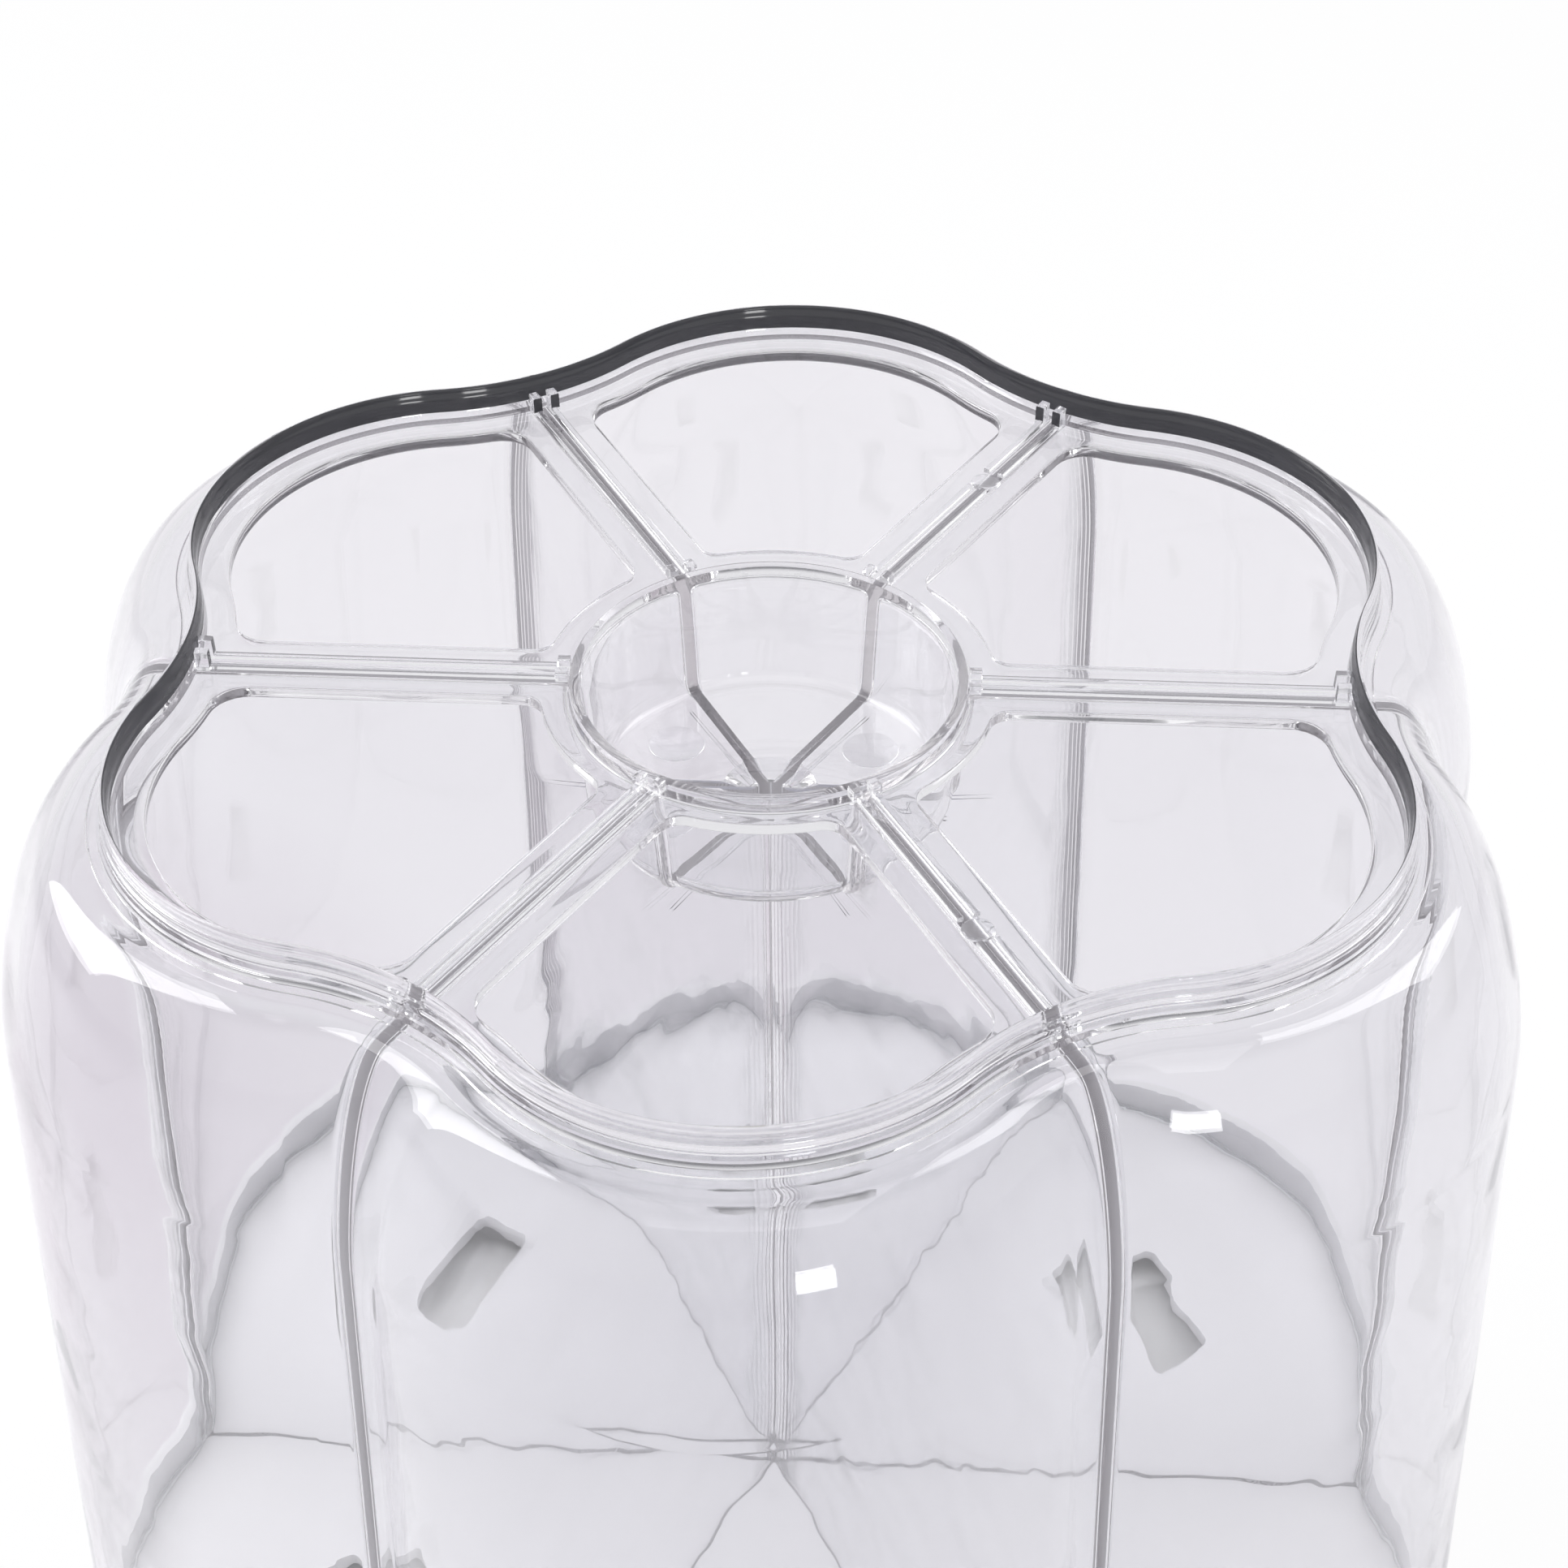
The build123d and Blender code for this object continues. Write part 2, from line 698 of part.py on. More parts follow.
with BuildPart() as deck:
    with BuildSketch(Plane.XY.offset(deck_z)):
        Circle(deck_radius)
    extrude(amount=-deck_thickness)
    with BuildSketch(Plane.XY.offset(deck_z)):
        Circle(hub_radius)
    extrude(amount=hub_bottom_z - deck_z)
    with BuildSketch(Plane.XY.offset(deck_z)):
        with Locations((0, detent_place)):
            Circle(detent_boss_radius)
    extrude(amount=detent_boss_bottom_z - deck_z)
    with BuildSketch(Plane.XY.offset(deck_z)):
        Circle(bush_radius + seat_gap)
        with Locations((0, detent_place)):
            Circle(detent_bore)
        with Locations((0, spout_centre)):
            RectangleRounded(outlet_width, outlet_length, outlet_round)
    extrude(amount=hub_bottom_z - deck_z, mode=Mode.SUBTRACT)
    with BuildSketch(Plane.XY.offset(deck_z)):
        Circle(bush_radius + bush_collar + seat_gap)
    extrude(amount=-bush_collar_thickness, mode=Mode.SUBTRACT)
    with BuildSketch(Plane.XY.offset(deck_z)):
        with Locations((0, spout_centre)):
            RectangleRounded(
                seal_inner_width + 2 * (seal_width + seat_gap),
                seal_inner_length + 2 * (seal_width + seat_gap),
                outlet_round + seal_width,
            )
            RectangleRounded(
                seal_inner_width - 2 * seat_gap,
                seal_inner_length - 2 * seat_gap,
                outlet_round,
                mode=Mode.SUBTRACT,
            )
    extrude(amount=-seal_sink, mode=Mode.SUBTRACT)
    with Locations((0, 0, deck_z)):
        with PolarLocations(glide_pad_place, compartments, glide_pad_turn):
            Hole(glide_pad_radius + seat_gap, glide_pad_sink)
        with PolarLocations(post_place, compartments):
            CounterBoreHole(large_shank + through_gap, large_head + through_gap, large_head_height + seat_gap)
    block_screw_x = block_half_width - block_screw_inset
    block_screw_span = block_back - block_front - 2 * block_screw_inset
    with Locations((0, (block_front + block_back) / 2, deck_z)):
        with GridLocations(2 * block_screw_x, block_screw_span, 2, 2):
            CounterBoreHole(small_shank + through_gap, small_head + through_gap, small_head_height + seat_gap)
    with BuildSketch(Plane.XY.offset(deck_under_z)):
        with Locations((0, bracket_y + bracket_thickness / 2)):
            with GridLocations(2 * bracket_half_width + bracket_ear, 0, 2, 1):
                Circle(small_shank + thread_gap)
    extrude(amount=deck_thickness - blind_floor, mode=Mode.SUBTRACT)
save(deck, "deck")

with BuildPart() as deck_screws:
    with Locations((0, 0, deck_z - large_head_height - seat_gap)):
        with PolarLocations(post_place, compartments):
            add(large_screw)
save(deck_screws, "deck_screws")

with BuildPart() as bearing_bush:
    with BuildSketch(Plane.XY.offset(deck_z)):
        Circle(bush_radius)
    extrude(amount=hub_bottom_z - deck_z)
    with BuildSketch(Plane.XY.offset(deck_z)):
        Circle(bush_radius + bush_collar)
    extrude(amount=-bush_collar_thickness)
    with BuildSketch(Plane.XY.offset(deck_z)):
        Circle(spindle_radius + bearing_gap)
    extrude(amount=hub_bottom_z - deck_z, mode=Mode.SUBTRACT)
save(bearing_bush, "bearing_bush")

with BuildPart() as glide_ring:
    with BuildSketch(Plane.XY.offset(deck_z)):
        Circle(glide_ring_outer)
        Circle(glide_ring_inner, mode=Mode.SUBTRACT)
    extrude(amount=glide_height)
    chamfer(glide_ring.faces().sort_by(Axis.Z)[-1].edges(), running_gap)
save(glide_ring, "glide_ring")

with BuildPart() as glide_pads:
    with BuildSketch(Plane.XY.offset(deck_z - glide_pad_sink)):
        with PolarLocations(glide_pad_place, compartments, glide_pad_turn):
            Circle(glide_pad_radius)
    extrude(amount=glide_height + glide_pad_sink)
    fillet(glide_pads.edges().group_by(Axis.Z)[-1], 2 * running_gap)
save(glide_pads, "glide_pads")

with BuildPart() as outlet_seal:
    with BuildSketch(Plane.XY.offset(deck_z - seal_sink)):
        with Locations((0, spout_centre)):
            RectangleRounded(
                seal_inner_width + 2 * seal_width,
                seal_inner_length + 2 * seal_width,
                outlet_round + seal_width,
            )
            RectangleRounded(seal_inner_width, seal_inner_length, outlet_round, mode=Mode.SUBTRACT)
    extrude(amount=glide_height + seal_sink)
save(outlet_seal, "outlet_seal")

# Chute: gate channel under the deck and a spout into the bay
block_bottom_z = deck_under_z - block_depth
block_middle = (block_front + block_back) / 2

with BuildPart() as spout_skin:
    with BuildSketch(Plane.XY.offset(gate_z - sliding_gap)):
        with Locations((0, spout_centre)):
            Rectangle(outlet_width + 2 * spout_wall, outlet_length + 2 * spout_wall)
    with BuildSketch(Plane.XY.offset(spout_bottom_z)):
        with Locations((0, spout_centre)):
            Rectangle(spout_mouth_width + 2 * spout_wall, spout_mouth_length + 2 * spout_wall)
    loft()

with BuildPart() as spout_way:
    with BuildSketch(Plane.XY.offset(gate_z - sliding_gap)):
        with Locations((0, spout_centre)):
            Rectangle(outlet_width, outlet_length)
    with BuildSketch(Plane.XY.offset(spout_bottom_z)):
        with Locations((0, spout_centre)):
            Rectangle(spout_mouth_width, spout_mouth_length)
    loft()

with BuildPart() as outlet_chute:
    with BuildSketch(Plane.XY.offset(deck_under_z)):
        with Locations((0, block_middle)):
            Rectangle(2 * block_half_width, block_back - block_front)
    extrude(amount=-block_depth)
    add(spout_skin.part)
    add(spout_way.part, mode=Mode.SUBTRACT)
    with BuildSketch(Plane.XY.offset(gate_z - sliding_gap)):
        with Locations((0, block_middle)):
            Rectangle(2 * (gate_half_width + sliding_gap), block_back - block_front)
    extrude(amount=gate_thickness + 2 * sliding_gap, mode=Mode.SUBTRACT)
    with BuildSketch(Plane.XY.offset(deck_under_z)):
        with Locations((0, spout_centre)):
            RectangleRounded(outlet_width, outlet_length, outlet_round)
    extrude(amount=-channel_roof, mode=Mode.SUBTRACT)
    with Locations((0, block_middle, deck_under_z)):
        with GridLocations(2 * block_screw_x, block_screw_span, 2, 2):
            Hole(small_shank + thread_gap, block_depth / 2)
save(outlet_chute, "outlet_chute")

with BuildPart() as chute_screws:
    with Locations((0, block_middle, deck_z - small_head_height - seat_gap)):
        with GridLocations(2 * block_screw_x, block_screw_span, 2, 2):
            add(screw(small_shank, chute_screw_length, small_head, small_head_height))
save(chute_screws, "chute_screws")

# Gate: sliding plate with a window that the button brings over the spout
tongue_front = gate_front - gate_tongue
gate_screw_y = gate_front - gate_tongue / 2

with BuildPart() as gate_plate:
    with BuildSketch(Plane.XY.offset(gate_z)):
        with Locations((0, (gate_front + gate_back) / 2)):
            Rectangle(2 * gate_half_width, gate_back - gate_front)
        with Locations((0, gate_screw_y)):
            Rectangle(2 * gate_tongue_half_width, gate_tongue)
        with Locations((0, window_rest)):
            RectangleRounded(outlet_width, gate_window_length, outlet_round, mode=Mode.SUBTRACT)
        with Locations((0, gate_screw_y)):
            with GridLocations(gate_tongue_half_width, 0, 2, 1):
                Circle(small_shank + through_gap, mode=Mode.SUBTRACT)
    extrude(amount=gate_thickness)
    with BuildSketch(Plane.XY.offset(gate_z + (gate_thickness - gate_tail_height) / 2)):
        with Locations((0, gate_back - gate_tail / 2)):
            Rectangle(2 * gate_half_width, gate_tail)
    extrude(amount=gate_tail_height)
save(gate_plate, "gate_plate")

with BuildPart() as push_button:
    with BuildSketch(Plane.XY.offset(button_z)):
        with Locations((0, (button_front + gate_front) / 2)):
            Rectangle(2 * button_half_width, gate_front - button_front)
    extrude(amount=button_height)
    fillet(push_button.faces().sort_by(Axis.Y)[0].edges(), button_round)
    with BuildSketch(Plane.XY.offset(gate_z - seat_gap)):
        with Locations((0, (tongue_front - seat_gap + gate_front) / 2)):
            Rectangle(2 * (gate_tongue_half_width + seat_gap), gate_tongue + seat_gap)
    extrude(amount=gate_thickness + 2 * seat_gap, mode=Mode.SUBTRACT)
    with Locations(Location((0, gate_screw_y, button_z), (180, 0, 0))):
        with GridLocations(gate_tongue_half_width, 0, 2, 1):
            CounterBoreHole(
                small_shank + thread_gap,
                small_head + through_gap,
                small_head_height,
                button_height - 2 * small_head_height,
            )
save(push_button, "push_button")

with BuildPart() as button_screws:
    with Locations(Location((0, gate_screw_y, button_z + small_head_height), (180, 0, 0))):
        with GridLocations(gate_tongue_half_width, 0, 2, 1):
            add(screw(small_shank, button_height - 4 * small_head_height, small_head, small_head_height))
save(button_screws, "button_screws")

with BuildPart() as button_bezel:
    with BuildSketch(Plane.XZ.offset(-bezel_back)):
        with Locations((0, bezel_centre_z)):
            RectangleRounded(
                bezel_hole_width + 2 * (bezel_wall + bezel_flange),
                bezel_hole_height + 2 * (bezel_wall + bezel_lip),
                bezel_flange,
            )
    extrude(amount=bezel_back - bezel_front)
    fillet(button_bezel.faces().sort_by(Axis.Y)[0].edges(), bezel_lip)
    add(base_form.part, mode=Mode.SUBTRACT)
    with BuildSketch(Plane.XZ.offset(-bezel_back)):
        with Locations((0, bezel_centre_z)):
            Rectangle(bezel_hole_width + 2 * bezel_wall, bezel_hole_height + 2 * bezel_wall)
    extrude(amount=bezel_back - bezel_front - bezel_lip)
    with BuildSketch(Plane.XZ.offset(-bezel_back)):
        with Locations((0, bezel_centre_z)):
            Rectangle(bezel_hole_width, bezel_hole_height)
    extrude(amount=bezel_back - bezel_front, mode=Mode.SUBTRACT)
save(button_bezel, "button_bezel")

# Return springs of the gate and their bracket
spring_z = gate_z + gate_thickness / 2
spring_front = gate_back
spring_back = bracket_y

with BuildPart() as spring_bracket:
    with BuildSketch(Plane.XY.offset(deck_under_z)):
        with Locations((0, bracket_y + bracket_thickness / 2)):
            Rectangle(2 * bracket_half_width, bracket_thickness)
    extrude(amount=-bracket_height)
    with BuildSketch(Plane.XY.offset(deck_under_z)):
        with Locations((0, bracket_y + bracket_thickness / 2)):
            with GridLocations(2 * bracket_half_width + bracket_ear, 0, 2, 1):
                Rectangle(bracket_ear, bracket_ear)
    extrude(amount=-bracket_ear_thickness)
    with BuildSketch(Plane.XZ.offset(-bracket_y)):
        with Locations((0, spring_z)):
            with GridLocations(spring_spread, 0, 2, 1):
                Circle(guide_pin_radius)
    extrude(amount=guide_pin_length)
    with Locations((0, bracket_y + bracket_thickness / 2, deck_under_z)):
        with GridLocations(2 * bracket_half_width + bracket_ear, 0, 2, 1):
            Hole(small_shank + through_gap, bracket_ear_thickness)
save(spring_bracket, "spring_bracket")

with BuildPart() as spring_bracket_screws:
    with Locations(Location((0, bracket_y + bracket_thickness / 2, deck_under_z - bracket_ear_thickness), (180, 0, 0))):
        with GridLocations(2 * bracket_half_width + bracket_ear, 0, 2, 1):
            add(screw(small_shank, bracket_screw_length, small_head, small_head_height))
save(spring_bracket_screws, "spring_bracket_screws")

with BuildPart() as gate_springs:
    with BuildSketch(Plane.XZ.offset(-spring_back)):
        with Locations((0, spring_z)):
            with GridLocations(spring_spread, 0, 2, 1):
                Circle(spring_radius)
                Circle(spring_radius - spring_wire, mode=Mode.SUBTRACT)
    extrude(amount=spring_back - spring_front)
save(gate_springs, "gate_springs")

# Detent: sprung plunger under the ring, in its boss below the deck
plunger_top_z = turntable_z - detent_ring_thickness - running_gap
plunger_low_z = plunger_top_z - plunger_length
plug_top_z = detent_boss_bottom_z + detent_cap_height

with BuildPart() as detent_plunger:
    with BuildSketch(Plane.XY.offset(plunger_low_z)):
        with Locations((0, detent_place)):
            Circle(plunger_radius)
    extrude(amount=plunger_length)
    fillet(detent_plunger.edges().sort_by(Axis.Z)[-1], plunger_radius / 2)
save(detent_plunger, "detent_plunger")

with BuildPart() as detent_spring:
    with BuildSketch(Plane.XY.offset(plug_top_z)):
        with Locations((0, detent_place)):
            Circle(plunger_radius)
            Circle(plunger_radius - detent_wire, mode=Mode.SUBTRACT)
    extrude(amount=plunger_low_z - plug_top_z)
save(detent_spring, "detent_spring")

with BuildPart() as detent_cap:
    with BuildSketch(Plane.XY.offset(detent_boss_bottom_z)):
        with Locations((0, detent_place)):
            Circle(detent_bore - cap_plug_gap)
    extrude(amount=detent_cap_height)
    with BuildSketch(Plane.XY.offset(detent_boss_bottom_z)):
        with Locations((0, detent_place)):
            Circle(detent_boss_radius)
    extrude(amount=-cap_head)
    fillet(detent_cap.edges().sort_by(Axis.Z)[0], cap_head / 2)
save(detent_cap, "detent_cap")
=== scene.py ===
from math import cos, pi, radians, sin

import bmesh
import bpy
import numpy as np
from mathutils import Matrix, Vector


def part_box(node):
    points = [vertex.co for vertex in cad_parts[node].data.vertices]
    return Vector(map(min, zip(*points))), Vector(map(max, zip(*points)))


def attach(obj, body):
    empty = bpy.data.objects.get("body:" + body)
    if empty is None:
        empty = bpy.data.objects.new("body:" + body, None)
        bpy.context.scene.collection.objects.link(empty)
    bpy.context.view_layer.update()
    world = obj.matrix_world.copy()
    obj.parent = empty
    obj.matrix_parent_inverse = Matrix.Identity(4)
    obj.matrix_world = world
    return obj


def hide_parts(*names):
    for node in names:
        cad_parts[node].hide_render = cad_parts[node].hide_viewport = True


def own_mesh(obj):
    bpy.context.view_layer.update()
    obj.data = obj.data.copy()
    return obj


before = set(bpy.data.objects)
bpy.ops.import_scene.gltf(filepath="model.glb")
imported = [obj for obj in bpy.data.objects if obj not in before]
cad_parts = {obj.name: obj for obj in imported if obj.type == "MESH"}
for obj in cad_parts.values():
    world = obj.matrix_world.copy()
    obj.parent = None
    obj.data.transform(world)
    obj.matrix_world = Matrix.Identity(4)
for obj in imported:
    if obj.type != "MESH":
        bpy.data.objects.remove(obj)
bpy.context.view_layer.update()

# Hopper: one clear styrene moulding, open below, with a rim, a top plate with six windows, a bowl
# and six dividers. Its cores leave through the foot, so every wall is about two millimetres. It
# stands in the turntable's lip on a gasket.

# sizes are in millimetres, a drop is a depth under the rim's top, and an outline is given by its
# peak radius, its valley radius and the radius that its lobes' centres lie on
MM = 0.001
SECTORS = 6
SECTOR = 2 * pi / SECTORS
RIM_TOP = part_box("hopper_shell")[1][2] / MM
FOOT_DROP = RIM_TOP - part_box("hopper_shell")[0][2] / MM
PLATE_DROP, UNDER_DROP = 7.8, 10.2
WALL = 2.4
RIM_EDGE = np.array([125.0, 108.2, 75.66])
RIM_FOOT = 0.3
# the rim's section: how far outward of its inside edge, and drop
RIM_SECTION = np.array([
    (-0.3, 7.8), (-0.28, 7.6), (-0.2, 6.4), (-0.12, 5.3), (0.0, 5.1), (0.08, 3.6), (0.2, 1.95),
    (0.3, 1.8), (0.5, 0.5), (0.6, 0.2), (0.8, 0.02), (1.05, 0.02), (1.25, 0.2), (1.35, 0.55),
    (1.42, 2.1), (1.62, 2.3), (1.68, 4.1), (1.9, 4.3), (1.95, 5.1), (2.15, 5.3), (2.2, 6.3),
    (2.65, 6.42), (2.7, 7.7), (2.8, 7.8), (4.3, 7.8), (4.5, 8.0), (4.7, 7.8), (5.6, 7.8),
])
BODY_EDGE = np.array([131.54, 114.74, 75.66])
BODY_SWELL = np.array([19.04, 16.36, 3.64])
BODY_DRAFT = np.array([0.0386, 0.0373, 0.0])
SWELL_POWER, SWELL_ROOT = 1.35, 2.19
SHOULDER = 40.5
# the skin's lean, outward over drop, where the shoulder leaves the ledge almost level
LEDGE_LEAN = 40.0
DIVIDER_HALF, CORNER_ROUND = 1.1, 1.5
# the dividers meet in a thin hub, with a small boss round it under the bowl
HUB_RADIUS, HUB_ROUND, HUB_END, HUB_BLEND = 2.5, 0.35, 39.0, 6
BOSS_ROUND, BOSS_DROP = 2.2, 37.0
# the compartments' profile under the bowl and up its side: (radius, drop), a round as (radius, drop, round)
UNDER_FLOOR = ((9, 34.8), (28, 34.8))
UNDER_CORNER = (31.0, 30.3, 4.5)
UNDER_SIDE = ((35.7, 27.0), (37.2, UNDER_DROP + 2.6))
WINDOW_BAND, WINDOW_INNER, WINDOW_SIDE = 5.8, 43, 7.5
WINDOW_INNER_ROUND, WINDOW_OUTER_ROUND, WINDOW_EDGE = 4, 7, 0.3
BOWL_OUTSIDE, BOWL_INSIDE, BOWL_TOP, BOWL_EDGE = 37.5, 35.9, 7.0, 0.4
BOWL_SIDE = ((35.45, 8.0), (33.6, 29.4))
BOWL_CORNER = (31.0, 30.0, 2.5)
BOWL_FLOOR, BOWL_FLOOR_RADII = 32.5, (26.0, 16.0, 8.0, 0.0)
# points along a half outline, and levels up the walls
ARC_STEPS, ROUND_STEPS, SIDE_STEPS, DIP_STEPS, LOBE_STEPS = 9, 6, 8, 16, 22
SKIRT_STEPS, SHOULDER_STEPS, TOP_STEPS, EDGE_STEPS, RING_STEPS = 12, 24, 5, 4, 4
SPREAD = np.array([1, 1, 0])


def body_outline(drop):
    """Outline of the body at each drop under the ledge.

    The shoulder swells as (1 - (1 - t)^1.35)^(1 / 2.19) over its height, then the skirt drafts outward."""
    t = np.clip(drop / SHOULDER, 0, 1)[:, None]
    swell = (1 - (1 - t) ** SWELL_POWER) ** (1 / SWELL_ROOT)
    skirt = np.clip(drop - SHOULDER, 0, None)[:, None]
    return BODY_EDGE + BODY_SWELL * swell + BODY_DRAFT * skirt


def arc(x, y, radius, start, end, steps):
    """Points on a circle about (x, y) between two angles, for arrays of circles."""
    turn = np.linspace(start, end, steps)
    return np.stack([x + radius * np.cos(turn), y + radius * np.sin(turn)], axis=-1)


def dip_circle(outline):
    """Distance of the centre, and radius, of the valley arc that touches two lobe arcs.

    Both follow from the valley's radius and from the centres' distance, which is the sum of both radii."""
    peak, valley, centre = outline[..., 0], outline[..., 1], outline[..., 2]
    along, across, lobe = centre * cos(SECTOR / 2), centre * sin(SECTOR / 2), peak - centre
    dip = ((valley - along) ** 2 + across**2 - lobe**2) / (2 * (lobe - valley + along))
    return valley + dip, dip


def outer_half(outline, start, steps):
    """Half of one lobe: the valley arc from an angle about its own centre, then the lobe arc to the peak."""
    dip_x, dip = dip_circle(outline)
    lobe_x, lobe_y = outline[..., 2] * cos(SECTOR / 2), outline[..., 2] * sin(SECTOR / 2)
    lobe = outline[..., 0] - outline[..., 2]
    swing = np.arctan2(lobe_y, dip_x - lobe_x)
    valley_arc = arc(dip_x, 0 * dip_x, dip, pi - start, pi - swing, steps + 1)[:-1]
    lobe_arc = arc(lobe_x, lobe_y, lobe, -swing, SECTOR / 2 + 0 * swing, LOBE_STEPS + 1)
    return np.concatenate([valley_arc, lobe_arc])


def cell_half(outline, inner, side, inner_round, outer_round):
    """Half of one compartment's outline: inner arc, round, straight side, round, and half of the outer lobe.

    Each round touches its neighbours, so its centre lies one round from the side and from the arc."""
    inner, side = inner + 0 * outline[..., 0], side + 0 * outline[..., 0]
    reach, lift = inner + inner_round, side + inner_round
    corner = np.arcsin(np.clip(lift / reach, 0, sin(SECTOR / 2)))
    near_x = reach * np.cos(corner)
    dip_x, dip = dip_circle(outline)
    far_lift = side + outer_round
    far_x = dip_x - np.sqrt((dip + outer_round) ** 2 - far_lift**2)
    turn = np.arctan2(far_lift, dip_x - far_x)
    inner_arc = arc(0 * inner, 0 * inner, inner, SECTOR / 2 + 0 * corner, corner, ARC_STEPS + 1)[:-1]
    near = arc(near_x, lift, inner_round, corner + pi, 1.5 * pi + 0 * corner, ROUND_STEPS + 1)[:-1]
    line_x = np.linspace(near_x, far_x, SIDE_STEPS + 1)[:-1]
    line = np.stack([line_x, side + 0 * line_x], axis=-1)
    far = arc(far_x, far_lift, outer_round, -pi / 2 + 0 * turn, -turn, ROUND_STEPS + 1)[:-1]
    return np.concatenate([inner_arc, near, line, far, outer_half(outline, turn, DIP_STEPS)])


def shared_half(outline, inner):
    """The sharp line that a compartment shares with its neighbours, with as many points as cell_half has."""
    inner = inner + 0 * outline[..., 0]
    turn_steps = ARC_STEPS + ROUND_STEPS + 1
    inner_arc = arc(0 * inner, 0 * inner, inner, SECTOR / 2 + 0 * inner, 0 * inner, turn_steps)[:-1]
    outer = outer_half(outline, 0 * inner, DIP_STEPS + ROUND_STEPS)
    line_x = np.linspace(inner, outer[0, ..., 0], SIDE_STEPS + 1)[:-1]
    return np.concatenate([inner_arc, np.stack([line_x, 0 * line_x], axis=-1), outer])


def blend_heights(inner_drop, outer_drop):
    """Drops along half an outline: one on its inner arc, one on its lobe, and a straight ramp between."""
    ramp = np.linspace(0, 1, SIDE_STEPS + 1)[:-1]
    outer = np.ones(ROUND_STEPS + DIP_STEPS + LOBE_STEPS + 1)
    share = np.concatenate([np.zeros(ARC_STEPS + ROUND_STEPS), ramp, outer])[:, None]
    return inner_drop * (1 - share) + outer_drop * share


def levels(outline_points, drops):
    """Points (steps, levels, 3) in millimetres from half outlines and their drops under the rim's top."""
    return np.concatenate([outline_points, (RIM_TOP - drops)[..., None]], axis=-1)


def sector_turn(k):
    """The matrix that turns points, written as rows, by k sectors about the axis."""
    c, s = cos(k * SECTOR), sin(k * SECTOR)
    return np.array([[c, s, 0], [-s, c, 0], [0, 0, 1]])


def full_turn(half):
    """Mirrors half a sector in the plane through its lobe's peak, and turns the pair to all six sectors."""
    c, s = cos(SECTOR), sin(SECTOR)
    mirror = np.array([[c, s, 0], [s, -c, 0], [0, 0, 1]])
    pair = [half, (half @ mirror)[::-1]]
    return [part @ sector_turn(k) for k in range(SECTORS) for part in pair]


def mesh_piece(name, grids):
    """One closed mesh from point grids in millimetres: a quad for each grid cell, equal points merged."""
    crease, merge = radians(40), 0.004 * MM
    points, faces, start = [], [], 0
    for grid in grids:
        rows, columns = grid.shape[:2]
        index = start + np.arange(rows * columns).reshape(rows, columns)
        quads = np.stack([index[:-1, :-1], index[1:, :-1], index[1:, 1:], index[:-1, 1:]], axis=-1)
        points.append(grid.reshape(-1, 3))
        faces.append(quads.reshape(-1, 4))
        start += rows * columns
    mesh = bpy.data.meshes.new(name)
    mesh.from_pydata((np.concatenate(points) * MM).tolist(), [], np.concatenate(faces).tolist())
    work = bmesh.new()
    work.from_mesh(mesh)
    bmesh.ops.remove_doubles(work, verts=work.verts, dist=merge)
    bmesh.ops.dissolve_degenerate(work, edges=work.edges, dist=merge)
    bmesh.ops.recalc_face_normals(work, faces=work.faces)
    work.to_mesh(mesh)
    work.free()
    mesh.shade_smooth()
    mesh.set_sharp_from_angle(angle=crease)
    piece = bpy.data.objects.new(name, mesh)
    bpy.context.scene.collection.objects.link(piece)
    return piece


def corner_arc(x, drop, radius, start, end, steps):
    """Points (radius, drop) on an arc in the profile plane, angles in degrees with drop pointing down."""
    turn = np.radians(np.linspace(start, end, steps))
    return np.stack([x + radius * np.cos(turn), drop + radius * np.sin(turn)], axis=-1)


def core_walls():
    """The walls of one core, level by level from the foot to the underside of the plate.

    Outside they are the skin moved in by the wall along the profile's normal. Inside they follow the hub
    and turn outward under the bowl and up its side. The top round widens them as 1 - cos and 1 - sin."""
    skirt = np.linspace(FOOT_DROP, PLATE_DROP + SHOULDER, SKIRT_STEPS)[:-1]
    shoulder = PLATE_DROP + SHOULDER * np.linspace(1, 0, SHOULDER_STEPS) ** 2
    drop = np.concatenate([skirt, shoulder])
    skin = body_outline(drop - PLATE_DROP)
    lean = np.gradient(skin[:, 0], drop)
    lean[-1] = LEDGE_LEAN
    length = np.hypot(1, lean)
    wall_down = WALL * lean / length
    wall_down[0] = 0
    outline = skin - (WALL / length)[:, None] * SPREAD
    inner = np.concatenate([
        np.linspace((HUB_RADIUS, FOOT_DROP), (HUB_RADIUS, HUB_END), SKIRT_STEPS)[:-1],
        corner_arc(HUB_RADIUS + BOSS_ROUND, BOSS_DROP, BOSS_ROUND, 180, 90, 4),
        np.linspace(*UNDER_FLOOR, 4),
        corner_arc(*UNDER_CORNER, 90, 5, 6),
        np.linspace(*UNDER_SIDE, 5),
        np.full((TOP_STEPS, 2), (BOWL_OUTSIDE, UNDER_DROP)),
    ])
    swing = np.linspace(0, pi / 2, TOP_STEPS + 1)[1:]
    fillet = np.zeros(len(drop))
    fillet[-TOP_STEPS:] = CORNER_ROUND * (1 - np.cos(swing))
    inner[-TOP_STEPS:, 0] += fillet[-TOP_STEPS:]
    inner[-TOP_STEPS:, 1] += CORNER_ROUND * (1 - np.sin(swing))
    hub_round = HUB_ROUND + np.clip((HUB_END - inner[:, 1]) / HUB_BLEND, 0, 1)
    half = cell_half(outline, inner[:, 0], DIVIDER_HALF + fillet, hub_round, CORNER_ROUND)
    return levels(half, blend_heights(inner[:, 1], drop + wall_down))


